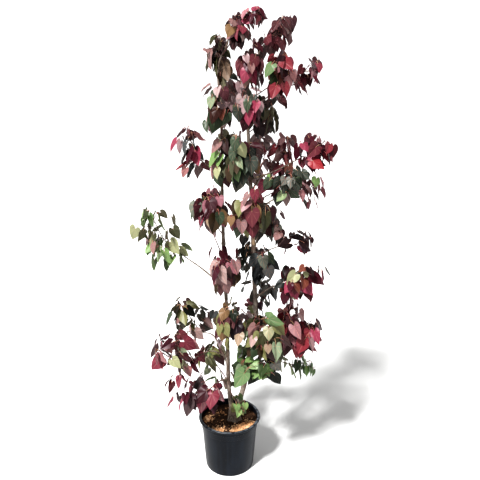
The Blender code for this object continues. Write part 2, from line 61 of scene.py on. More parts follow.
# ---- studio ------------------------------------------------------------------------------------------------
# A pale floor in an open white room with a darker ceiling.  One broad lamp high on the left models the
# leaves, and the room itself fills the shadows.  The camera looks down a little from head height.
FLOOR_SIZE = 60.0
FLOOR_WHITE = (0.62, 0.62, 0.615)
FLOOR_ROUGHNESS = 0.9
ROOM_LIGHT = (1.0, 0.30)                 # low down and at the ceiling
ROOM_FADE = (math.sin(math.radians(26.0)), math.sin(math.radians(55.0)))
LAMP_STRENGTH = 5.6
LAMP_WIDTH = math.radians(8.0)
LAMP_HEIGHT = math.radians(52.0)
LAMP_TURN = math.radians(-38.0)          # round the plant from the camera
CAMERA_PLACE = (0.052, -2.078, 1.638)
CAMERA_PITCH = math.radians(13.27)
CAMERA_LENS = 35.4


class Value:
    """A socket of a node tree.  Arithmetic on it adds Math nodes."""

    def __init__(self, tree, socket=None):
        self.tree = tree
        self.socket = socket

    def node(self, kind, settings=None, inputs=None, output=0):
        """Adds a node: its settings first, then the values or links of its sockets."""
        made = self.tree.nodes.new(kind)
        for name, value in (settings or {}).items():
            setattr(made, name, value)
        for key, value in (inputs or {}).items():
            feed(self.tree, made, key, value)
        outputs = [s for s in made.outputs if s.enabled]
        return Value(self.tree, made.outputs[output] if isinstance(output, str) else outputs[output])

    def maths(self, operation, *others):
        """A Math node of that kind on this value and the others."""
        return self.node("ShaderNodeMath", {"operation": operation}, dict(enumerate((self, *others))))

    def __add__(self, other):
        return self.maths("ADD", other)

    def __radd__(self, other):
        return self.maths("ADD", other)

    def __sub__(self, other):
        return self.maths("SUBTRACT", other)

    def __rsub__(self, other):
        return self.node("ShaderNodeMath", {"operation": "SUBTRACT"}, {0: other, 1: self})

    def __mul__(self, other):
        return self.maths("MULTIPLY", other)

    def __rmul__(self, other):
        return self.maths("MULTIPLY", other)

    def between(self, low, high, least=0.0, most=1.0):
        """The least value below low, the most above high, and a smooth step from one to the other."""
        return self.node("ShaderNodeMapRange", {"interpolation_type": "SMOOTHSTEP"},
                         {"Value": self, "From Min": low, "From Max": high, "To Min": least, "To Max": most})


def feed(tree, node, key, value):
    """Sets an input socket of a node, by its name or its number, or links it."""
    if isinstance(key, str):
        socket = next(s for s in node.inputs if s.name == key and s.enabled)
    else:
        socket = node.inputs[key]
    if isinstance(value, Value):
        tree.links.new(value.socket, socket)
    elif socket.type == "RGBA" and len(value) == 3:
        socket.default_value = (*value, 1.0)
    else:
        socket.default_value = value


def part_of(value, axis):
    """One coordinate of a vector."""
    return value.node("ShaderNodeSeparateXYZ", None, {"Vector": value}, axis)


floor_mesh = bpy.data.meshes.new("studio_floor")
half_floor = 0.5 * FLOOR_SIZE
corners = ((-1.0, -1.0), (1.0, -1.0), (1.0, 1.0), (-1.0, 1.0))
floor_mesh.from_pydata([(half_floor * x, half_floor * y, 0.0) for x, y in corners], [], [(0, 1, 2, 3)])
floor_paint = bpy.data.materials.new("floor_paint")
floor_paint.use_nodes = True
floor_shader = floor_paint.node_tree.nodes["Principled BSDF"]
floor_shader.inputs["Base Color"].default_value = (*FLOOR_WHITE, 1.0)
floor_shader.inputs["Roughness"].default_value = FLOOR_ROUGHNESS
floor_mesh.materials.append(floor_paint)
floor = bpy.data.objects.new("studio_floor", floor_mesh)
bpy.context.scene.collection.objects.link(floor)

lamp = bpy.data.lights.new("key_lamp", "SUN")
lamp.energy = LAMP_STRENGTH
lamp.angle = LAMP_WIDTH
lamp_object = bpy.data.objects.new("key_lamp", lamp)
lamp_object.rotation_euler = (math.pi / 2.0 - LAMP_HEIGHT, 0.0, LAMP_TURN)
bpy.context.scene.collection.objects.link(lamp_object)

world = bpy.data.worlds.new("white_room")
world.use_nodes = True
room = world.node_tree
way = Value(room).node("ShaderNodeTexCoord", output="Generated")
feed(room, room.nodes["Background"], "Strength", part_of(way, "Z").between(*ROOM_FADE, *ROOM_LIGHT))
feed(room, room.nodes["Background"], "Color", (1.0, 1.0, 1.0))
bpy.context.scene.world = world
bpy.context.scene.view_settings.view_transform = "Standard"
bpy.context.scene.view_settings.look = "High Contrast"

camera = bpy.data.objects.new("camera", bpy.data.cameras.new("camera"))
camera.location = CAMERA_PLACE
camera.rotation_euler = (math.pi / 2.0 - CAMERA_PITCH, 0.0, 0.0)
camera.data.lens = CAMERA_LENS
bpy.context.scene.collection.objects.link(camera)
bpy.context.scene.camera = camera


# ---- nursery pot -------------------------------------------------------------------------------------------
# A round pot of black recycled plastic, injection moulded in one piece: a thin tapering wall with two ledges
# under a collar, and a rim rolled outwards.  The melt's flow leaves faint upright streaks in its surface, and
# painted bluish sheen lies along them and in broad patches; dust lies low down, and the rim's top edge is
# paler.
def mix_colours(amount, first, second):
    """The first colour where the amount is 0 and the second where it is 1."""
    mixed = amount.node("ShaderNodeMix", {"data_type": "RGBA"}, {"Factor": amount})
    made = mixed.socket.node
    sockets = [s for s in made.inputs if s.type == "RGBA"]
    for socket, value in zip(sockets, (first, second)):
        if isinstance(value, Value):
            amount.tree.links.new(value.socket, socket)
        else:
            socket.default_value = (*value, 1.0)
    return Value(amount.tree, next(s for s in made.outputs if s.type == "RGBA"))


def finish_material(name, base, roughness, recipe=None, specular=0.5):
    """A Principled material.  A recipe takes Object coordinates and returns what varies, by socket name."""
    made = bpy.data.materials.new(name)
    made.use_nodes = True
    tree = made.node_tree
    shader = tree.nodes["Principled BSDF"]
    shader.inputs["Base Color"].default_value = (*base, 1.0)
    shader.inputs["Roughness"].default_value = roughness
    shader.inputs["Specular IOR Level"].default_value = specular
    made.diffuse_color = (*base, 1.0)
    if recipe:
        place = Value(tree).node("ShaderNodeTexCoord", output="Object")
        for key, value in recipe(place).items():
            feed(tree, shader, key, value)
    return made


def clouds(place, scale, detail=3.0, stretch=(1.0, 1.0, 1.0)):
    """Noise of that many lumps to the metre, which a stretch under 1 draws out along its axis."""
    stretched = place.node("ShaderNodeMapping", None, {"Vector": place, "Scale": stretch})
    inputs = {"Vector": stretched, "Scale": scale, "Detail": detail}
    return place.node("ShaderNodeTexNoise", None, inputs, "Fac")


def bump(height, depth, strength=1.0):
    """A normal from a height of 0 to 1 that stands for a depth in metres."""
    return height.node("ShaderNodeBump", None, {"Height": height, "Distance": depth, "Strength": strength})


def add_piece(name, mesh, slot, *nodes):
    """A finished mesh as a piece at the origin, with its body and the nodes that it replaces.  Its slot is
    not used.
    """
    mesh.name = name
    piece = bpy.data.objects.new(name, mesh)
    bpy.context.scene.collection.objects.link(piece)
    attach(piece, "root")
    if nodes:
        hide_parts(*nodes)
    return piece


def smooth_mesh(name, verts, faces, finish):
    """A smooth mesh in one material."""
    mesh = bpy.data.meshes.new(name)
    mesh.from_pydata(verts, [], faces)
    mesh.materials.append(finish)
    mesh.shade_smooth()
    mesh.validate()
    return mesh


def arc(centre, radius, start, end, steps):
    """Points of an arc in a turned profile, from one angle to another, in degrees."""
    turns = [math.radians(start + (end - start) * i / steps) for i in range(steps + 1)]
    return [(centre[0] + radius * math.cos(a), centre[1] + radius * math.sin(a)) for a in turns]


def level_ring(radius, z, sides):
    """Vertices of a level ring round the axis."""
    turns = [math.tau * k / sides for k in range(sides)]
    return [Vector((radius * math.cos(turn), radius * math.sin(turn), z)) for turn in turns]


def turned(profile, sides):
    """Vertices and faces turned about Z from a profile that runs from axis to axis, up its outer side."""
    verts = [Vector((0.0, 0.0, profile[0][1])), Vector((0.0, 0.0, profile[-1][1]))]
    for radius, z in profile[1:-1]:
        verts += level_ring(radius, z, sides)
    faces = []
    rings = len(profile) - 2
    for k in range(sides):
        after = (k + 1) % sides
        faces.append((0, 2 + after, 2 + k))
        for ring in range(rings - 1):
            a = 2 + ring * sides
            faces.append((a + k, a + after, a + sides + after, a + sides + k))
        last = 2 + (rings - 1) * sides
        faces.append((1, last + k, last + after))
    return verts, faces


POT_HEIGHT = 0.260
BASE_RADIUS = 0.1187
BODY_RADIUS = 0.1340     # at the lower ledge
LEDGE_HEIGHTS = (0.205, 0.229)
LEDGE_STEP = 0.0028
RIM_RADIUS = 0.151
RIM_DEPTH = 0.011
POT_WALL = 0.0022
POT_SIDES = 128
FOOT_ROUND = 0.006
FOOT_RING = (0.100, 0.0016)      # inner radius of the ring that the pot stands on, and how far it stands down
LEDGE_FILLET = 0.0012
COLLAR_FILLET = 0.0015
RIM_ROUND = 0.0035
WALL_STEP = 0.004        # below the lower ledge, where the inner wall ends under the mix
POT_CREASE = math.radians(50.0)
MIX_EDGE = 0.232         # height of the potting mix at the wall
BLACK_PLASTIC = (0.0050, 0.0060, 0.0085)
# painted sheen: a bluish colour that stands for light on the black plastic
PAINTED_BLUISH_SHEEN = (0.0125, 0.0165, 0.0240)
PALE_RIM_TOP = (0.085, 0.095, 0.105)
DUST = (0.030, 0.028, 0.024)


def pot_profile():
    """The pot's section: under the foot, up the ledged wall, over the rim and down the inner wall."""
    low, high = LEDGE_HEIGHTS
    upper = BODY_RADIUS + LEDGE_STEP
    collar = BODY_RADIUS + 2.0 * LEDGE_STEP
    fillet = LEDGE_FILLET
    lip = 0.5 * RIM_DEPTH
    under_rim = POT_HEIGHT - RIM_DEPTH
    ring, recess = FOOT_RING
    inner = collar - POT_WALL
    outside = [(0.0, recess), (ring, recess), (ring + 0.002, 0.0)]
    outside += arc((BASE_RADIUS - FOOT_ROUND, FOOT_ROUND), FOOT_ROUND, -90, -4, 5)
    outside += [(BASE_RADIUS + (BODY_RADIUS - BASE_RADIUS) * t, low * t) for t in (0.2, 0.4, 0.6, 0.8, 0.99)]
    for radius, z in ((BODY_RADIUS, low), (upper, high)):
        outside += arc((radius + fillet, z), fillet, 180, 90, 3)
        outside += arc((radius + LEDGE_STEP - fillet, z + 2.0 * fillet), fillet, -90, 0, 3)
    outside += [(collar, under_rim - 0.001)]
    outside += arc((collar + COLLAR_FILLET, under_rim), COLLAR_FILLET, 180, 90, 3)
    outside += [(RIM_RADIUS - 0.003, under_rim + 0.0005)]
    outside += arc((RIM_RADIUS - RIM_ROUND, POT_HEIGHT - lip), RIM_ROUND, -70, 0, 4)
    outside += arc((RIM_RADIUS - lip + 0.0005, POT_HEIGHT - lip), lip - 0.0005, 20, 90, 6)
    inside = arc((inner + RIM_ROUND, POT_HEIGHT - 0.0040), RIM_ROUND, 100, 180, 4)
    inside += [(inner, MIX_EDGE), (BODY_RADIUS - POT_WALL, low - WALL_STEP), (0.0, low - 1.5 * WALL_STEP)]
    return outside + inside


def pot_finish(place):
    """Black plastic with painted bluish sheen in streaks and patches, dust low down and a paler top edge of
    the rim.
    """
    height = part_of(place, "Z")
    streaks = clouds(place, 55.0, 4.0, (1.0, 1.0, 0.05)).between(0.42, 0.74)
    patches = clouds(place, 7.0, 2.0, (1.0, 1.0, 0.45)).between(0.40, 0.66)
    grime = clouds(place, 90.0, 5.0).between(0.56, 0.78)
    foot = 1.0 - height.between(0.004, 0.050)
    # The rim's top edge is paler, in noisy spots.
    edge = height.between(POT_HEIGHT - 0.0035, POT_HEIGHT - 0.0005)
    edge = edge * clouds(place, 60.0, 4.0).between(0.35, 0.60)
    # Painted sheen: a bluish tint along the streaks and in broad patches stands for light on the plastic.
    colour = mix_colours(streaks * 0.35 + patches * 0.55, BLACK_PLASTIC, PAINTED_BLUISH_SHEEN)
    colour = mix_colours(grime * 0.35 + foot * grime * 0.45, colour, DUST)
    colour = mix_colours(edge * 0.85, colour, PALE_RIM_TOP)
    fine = clouds(place, 900.0, 2.0)
    return {"Base Color": colour, "Roughness": 0.33 + 0.17 * grime + 0.10 * streaks,
            "Normal": bump(streaks * 0.6 + fine * 0.4, 0.0004, 0.35)}


pot_plastic = finish_material("black_plastic", BLACK_PLASTIC, 0.36, pot_finish, 0.2)
pot_mesh = smooth_mesh("nursery_pot", *turned(pot_profile(), POT_SIDES), pot_plastic)
pot_mesh.set_sharp_from_angle(angle=POT_CREASE)
add_piece("nursery_pot", pot_mesh, "pot_plastic", "pot")


# ---- potting mix -------------------------------------------------------------------------------------------
# Dark peat and composted bark that fills the pot nearly to its collar, a little higher round the trunk.  Its
# top is loose crumbs; coarse orange-tan chips of pine bark lie on it, most of them in drifts at the front.
MIX_CROWN = 0.236
MIX_SLOPE_END = 0.135    # from the axis, where its top has come down to the height at the wall
MIX_RELIEF = 0.0024
MIX_RING = 0.0028        # between the rings of its top
MIX_SIDES = 110
MIX_CLEAR = 0.0006       # of the wall
PEAT = (0.030, 0.0155, 0.0085)
PEAT_DRY = (0.115, 0.062, 0.034)
CHIP_TAN = (0.47, 0.270, 0.140)
CHIP_PALE = (0.56, 0.370, 0.225)
CHIP_BROWN = (0.150, 0.062, 0.028)
CHIP_DUST = (0.360, 0.205, 0.110)
CHIP_REACH = 0.125       # from the axis, so that none pokes into the wall
CHIP_LOWEST = MIX_EDGE - 0.004
CHIP_FREE = (0.02, 0.034)        # middle and radius of the circle round the trunk without chips
CHIP_STRAY = 0.03        # of the thickness in a drift, everywhere else
CRUMB_REACH = 0.1315
CRUMB_LOWEST = 0.229
STREWN_TILT = 0.3
CHIP_PATCHES = (         # drifts of chips: middle and reach
    (0.050, -0.095, 0.044), (0.100, -0.050, 0.034), (-0.055, -0.095, 0.030), (-0.112, 0.005, 0.022))


def mix_top(x, y):
    """Height of the loose top at a place."""
    out = min(math.hypot(x, y) / MIX_SLOPE_END, 1.0)
    lumps = noise.noise(Vector((x, y, 0.3)) * 60.0) + 0.6 * noise.noise(Vector((x, y, 1.7)) * 190.0)
    return MIX_CROWN - (MIX_CROWN - MIX_EDGE) * out + MIX_RELIEF * lumps


def peat_finish(place):
    """Dark peat with dry patches and brown specks, dusted with bark where the chips lie."""
    crumbs = clouds(place, 160.0, 6.0)
    dry = clouds(place, 26.0, 4.0).between(0.48, 0.68)
    specks = clouds(place, 420.0, 2.0).between(0.60, 0.72)
    colour = mix_colours(crumbs.between(0.35, 0.75) * 0.6 + dry * 0.4, PEAT, PEAT_DRY)
    colour = mix_colours(specks * 0.5, colour, CHIP_BROWN)
    dust = clouds(place, 75.0, 4.0).between(0.30, 0.46)
    for x, y, reach in CHIP_PATCHES:
        ends = {0: place, 1: (x, y, MIX_EDGE)}
        away = place.node("ShaderNodeVectorMath", {"operation": "DISTANCE"}, ends, "Value")
        colour = mix_colours((1.0 - away.between(0.75 * reach, 1.15 * reach)) * dust, colour, CHIP_DUST)
    return {"Base Color": colour, "Roughness": 0.96 - 0.10 * specks, "Normal": bump(crumbs, 0.003, 0.9)}


def chip_finish(place):
    """Pine bark: a tan grain with brown in it, some chips paler than others."""
    grain = clouds(place, 240.0, 4.0, (1.0, 0.35, 1.0))
    kinds = clouds(place, 45.0, 1.0).between(0.42, 0.58)
    colour = mix_colours(grain.between(0.30, 0.70), CHIP_TAN, CHIP_BROWN)
    colour = mix_colours(kinds * 0.75, CHIP_TAN, colour)
    colour = mix_colours(clouds(place, 31.0, 1.0).between(0.50, 0.60), colour, CHIP_PALE)
    return {"Base Color": colour, "Roughness": 0.72 + 0.20 * grain, "Normal": bump(grain, 0.0012, 0.6)}


def bands(rings, sides):
    """Side faces between rings of vertices that follow one another."""
    faces = []
    for start in range(0, (rings - 1) * sides, sides):
        for k in range(sides):
            a, b = start + k, start + (k + 1) % sides
            faces.append((a, b, b + sides, a + sides))
    return faces


def polar_disc(radius, ring_gap, sides, height):
    """Rings of vertices round the axis, outermost first, and one in the middle."""
    count = int(radius / ring_gap)
    verts = []
    for ring in range(count):
        reach = radius * (1.0 - ring / count)
        for k in range(sides):
            turn = math.tau * (k + 0.5 * (ring % 2)) / sides
            x, y = reach * math.cos(turn), reach * math.sin(turn)
            verts.append(Vector((x, y, height(x, y))))
    verts.append(Vector((0.0, 0.0, height(0.0, 0.0))))
    last = (count - 1) * sides
    fan = [(last + k, last + (k + 1) % sides, len(verts) - 1) for k in range(sides)]
    return verts, bands(count, sides) + fan


mix_radius = BODY_RADIUS + 2.0 * LEDGE_STEP - POT_WALL - MIX_CLEAR
mix_verts, mix_faces = polar_disc(mix_radius, MIX_RING, MIX_SIDES, mix_top)
upper = 0
for reach, z in ((mix_radius - MIX_CLEAR, MIX_EDGE - 0.006),
                 (BODY_RADIUS - POT_WALL - 0.0008, LEDGE_HEIGHTS[0] - 0.003)):
    lower = len(mix_verts)
    mix_verts += level_ring(reach, z, MIX_SIDES)
    for k in range(MIX_SIDES):
        after = (k + 1) % MIX_SIDES
        mix_faces.append((upper + k, lower + k, lower + after, upper + after))
    upper = lower
mix_faces.append(tuple(range(upper, upper + MIX_SIDES))[::-1])
peat = finish_material("peat", PEAT, 0.95, peat_finish, 0.2)
mix_mesh = smooth_mesh("potting_mix", mix_verts, mix_faces, peat)
add_piece("potting_mix", mix_mesh, "potting_mix", "soil")


def tree_with(name, *inputs):
    """A Geometry Nodes tree with a Geometry input and output and the other inputs named."""
    tree = bpy.data.node_groups.new(name, "GeometryNodeTree")
    tree.interface.new_socket("Geometry", in_out="INPUT", socket_type="NodeSocketGeometry")
    for label, kind in inputs:
        tree.interface.new_socket(label, in_out="INPUT", socket_type="NodeSocket" + kind)
    tree.interface.new_socket("Geometry", in_out="OUTPUT", socket_type="NodeSocketGeometry")
    return tree, Value(tree).node("NodeGroupInput")


def given(start, label):
    """The named input of a tree, from its group input node."""
    return Value(start.tree, start.socket.node.outputs[label])


def set_material(start, geometry, label, chosen=None):
    """Gives the material of that named input to the faces of a geometry, or to the chosen ones."""
    inputs = {"Geometry": geometry, "Material": given(start, label)}
    if chosen is not None:
        inputs["Selection"] = chosen
    return start.node("GeometryNodeSetMaterial", None, inputs)


def end_tree(geometry):
    """Links what a tree has made to its output."""
    geometry.tree.links.new(geometry.socket, geometry.tree.nodes.new("NodeGroupOutput").inputs[0])


def grown(base, tree, **sizes):
    """The plain mesh that a tree makes of a base mesh; underscores in the names of its inputs are spaces."""
    carrier = bpy.data.objects.new("carrier", base)
    bpy.context.scene.collection.objects.link(carrier)
    step = carrier.modifiers.new("growth", "NODES")
    step.node_group = tree
    sockets = {item.name: item.identifier for item in tree.interface.items_tree if item.in_out == "INPUT"}
    for label, value in sizes.items():
        step[sockets[label.replace("_", " ").capitalize()]] = value
    done = bpy.data.meshes.new_from_object(carrier.evaluated_get(bpy.context.evaluated_depsgraph_get()))
    carrier.modifiers.clear()
    bpy.data.objects.remove(carrier)
    return done


def attribute(start, label, kind="FLOAT"):
    """A named attribute of the geometry that a tree works on."""
    return start.node("GeometryNodeInputNamedAttribute", {"data_type": kind}, {"Name": label}, "Attribute")


def lump(name, seed, sizes, points=14):
    """A small irregular closed lump: the hull of random points in an ellipsoid."""
    rng = Random(seed)
    shape = bmesh.new()
    for _ in range(points):
        way = Vector([rng.gauss(0.0, 1.0) for _ in range(3)]).normalized() * rng.uniform(0.7, 1.0)
        shape.verts.new([way[i] * sizes[i] for i in range(3)])
    hull = bmesh.ops.convex_hull(shape, input=shape.verts)
    bmesh.ops.delete(shape, geom=list({*hull["geom_interior"], *hull["geom_unused"]}), context="VERTS")
    bmesh.ops.recalc_face_normals(shape, faces=shape.faces)
    mesh = bpy.data.meshes.new(name)
    shape.to_mesh(mesh)
    shape.free()
    return mesh


def shelf(name, meshes):
    """A collection of loose shapes for a tree to pick from, kept out of the scene."""
    kept = bpy.data.collections.new(name)
    for i, mesh in enumerate(meshes):
        kept.objects.link(bpy.data.objects.new(f"{name}_{i:02d}", mesh))
    return kept


def shapes_of(start):
    """The loose shapes of a tree's collection, each by itself."""
    inputs = {"Collection": given(start, "Shapes"), "Separate Children": True, "Reset Children": True}
    return start.node("GeometryNodeCollectionInfo", None, inputs)


def scatter_tree():
    """Shapes from a collection strewn over a surface, thickest where its attribute says."""
    sizes = [(label, "Float") for label in ("Number to the square metre", "Smallest", "Largest", "Sunk")]
    tree, start = tree_with("strewn_pieces", ("Shapes", "Collection"), *sizes, ("Seed", "Int"),
                            ("Finish", "Material"))
    density = attribute(start, "strewing") * given(start, "Number to the square metre")
    strewn = start.node("GeometryNodeDistributePointsOnFaces", None,
                        {"Mesh": start, "Density": density, "Seed": given(start, "Seed")})
    normal = Value(tree, strewn.socket.node.outputs["Normal"])
    down = start.node("ShaderNodeVectorMath", {"operation": "SCALE"},
                      {0: normal, "Scale": given(start, "Sunk") * -1.0})
    placed = start.node("GeometryNodeSetPosition", None, {"Geometry": strewn, "Offset": down})
    spin = start.node("FunctionNodeRandomValue", {"data_type": "FLOAT_VECTOR"},
                      {"Min": (-STREWN_TILT, -STREWN_TILT, 0.0), "Max": (STREWN_TILT, STREWN_TILT, math.tau),
                       "Seed": given(start, "Seed")})
    turn = start.node("FunctionNodeRotateRotation", {"rotation_space": "LOCAL"},
                      {0: Value(tree, strewn.socket.node.outputs["Rotation"]), 1: spin})
    size = start.node("FunctionNodeRandomValue", {"data_type": "FLOAT"},
                      {"Min": given(start, "Smallest"), "Max": given(start, "Largest"), "Seed": 7})
    shapes = shapes_of(start)
    laid = start.node("GeometryNodeInstanceOnPoints", None,
                      {"Points": placed, "Instance": shapes, "Pick Instance": True, "Rotation": turn,
                       "Scale": size})
    whole = start.node("GeometryNodeRealizeInstances", None, {"Geometry": laid})
    end_tree(set_material(start, whole, "Finish"))
    return tree


def strewing(mesh, amount):
    """A copy of a mesh with how thickly each place is strewn, from a function of the place."""
    copy = mesh.copy()
    marks = copy.attributes.new("strewing", "FLOAT", "POINT")
    marks.data.foreach_set("value", [amount(vert) for vert in mesh.vertices])
    return copy


def chip_amount(vert):
    """Chips lie in drifts, clear of the wall and of the trunk, and a few stray between."""
    x, y, z = vert.co
    middle, free = CHIP_FREE
    if math.hypot(x, y) > CHIP_REACH or z < CHIP_LOWEST or math.hypot(x - middle, y) < free:
        return 0.0
    heap = max(math.exp(-((x - a) ** 2 + (y - b) ** 2) / (r * r)) for a, b, r in CHIP_PATCHES)
    return CHIP_STRAY + (1.0 - CHIP_STRAY) * heap


def crumb_amount(vert):
    """Crumbs lie everywhere on the top."""
    x, y, z = vert.co
    return 1.0 if z > CRUMB_LOWEST and math.hypot(x, y) < CRUMB_REACH else 0.0


scatter = scatter_tree()
tan_bark = finish_material("pine_bark_chips", CHIP_TAN, 0.85, chip_finish, 0.2)
chips = shelf("chips", [lump(f"chip_{i}", 300 + i, (0.0085, 0.0052, 0.0020 + 0.0003 * i)) for i in range(6)])
crumbs = shelf("crumbs", [lump(f"crumb_{i}", 340 + i, (0.0030, 0.0026, 0.0021), 10) for i in range(5)])
for name, shapes, number, sizes, sunk, amount, finish in (
        ("bark_chips", chips, 44000.0, (0.35, 1.25), -0.0004, chip_amount, tan_bark),
        ("peat_crumbs", crumbs, 32000.0, (0.45, 1.25), 0.0004, crumb_amount, peat)):
    strewn = grown(strewing(mix_mesh, amount), scatter, shapes=shapes, number_to_the_square_metre=number,
                   smallest=sizes[0], largest=sizes[1], sunk=sunk, seed=5, finish=finish)
    add_piece(name, strewn, "potting_mix")


# ---- trunk, stems and boughs -------------------------------------------------------------------------------
# The young trunk flares into the mix and forks low down into two upright stems, which send out long boughs.
# The bark is thin and grey-brown, streaked lengthwise, swollen at old leaf nodes and dotted with pale pores.
FORK_HEIGHT = 0.310
FOOT_CENTRE = 0.023
FOOT_TOP = (0.0265, 0.0155)
FOOT_FLARE = (0.037, 0.033)
FLARE_POWER = 2.2
ROOT_LOBES = 5
LOBE_DEPTH = 0.16
LOBE_TURN = 0.6
FOOT_SIDES = 40
FOOT_RINGS = 22          # up to the fork, and three more that round it over
FOOT_ROUNDED = 19        # the ring from which on it gets narrower towards its top
FOOT_SUNK = 0.008        # its lowest ring under the mix
FOOT_VOXEL = 0.0016      # of the skin over the foot and the stems' starts
FOOT_SMOOTHING = 10
STUB_POINTS = 26         # of each stem that the foot's skin takes in
STUB_SUNK = 0.030
STUB_SWELL = (1.16, 0.26)        # against the stem, and how much of it is gone at the stub's end
STEM_STEPS = 40
BOUGH_STEPS = 36
STEM_SIDES = 18
BOUGH_SIDES = 10
BOUGH_COLLAR = 0.55
GAP = 0.0003
UP = Vector((0.0, 0.0, 1.0))
STEMS = {                # waypoints from the fork to the tip, radii at both, and how late the taper comes
    "left": {
        "way": ((0.010, 0.0, 0.31), (-0.003, 0.0, 0.42), (-0.006, -0.01, 0.61), (-0.013, 0.01, 0.86),
                (-0.023, 0.0, 1.15), (-0.027, 0.01, 1.39), (-0.027, 0.0, 1.71), (-0.039, 0.01, 1.84),
                (-0.033, 0.0, 1.91), (-0.004, 0.0, 1.97), (0.014, 0.0, 2.03), (0.040, 0.0, 2.062)),
        "radii": (0.0105, 0.0019), "taper": 1.0},
    "right": {
        "way": ((0.037, 0.0, 0.31), (0.072, 0.02, 0.41), (0.101, 0.03, 0.58), (0.128, 0.03, 0.75),
                (0.120, 0.03, 0.93), (0.112, 0.02, 1.14), (0.101, 0.02, 1.37), (0.089, 0.03, 1.60),
                (0.078, 0.03, 1.74), (0.094, 0.03, 1.85), (0.128, 0.02, 1.94), (0.160, 0.01, 1.985)),
        "radii": (0.0125, 0.0021), "taper": 1.5},
}
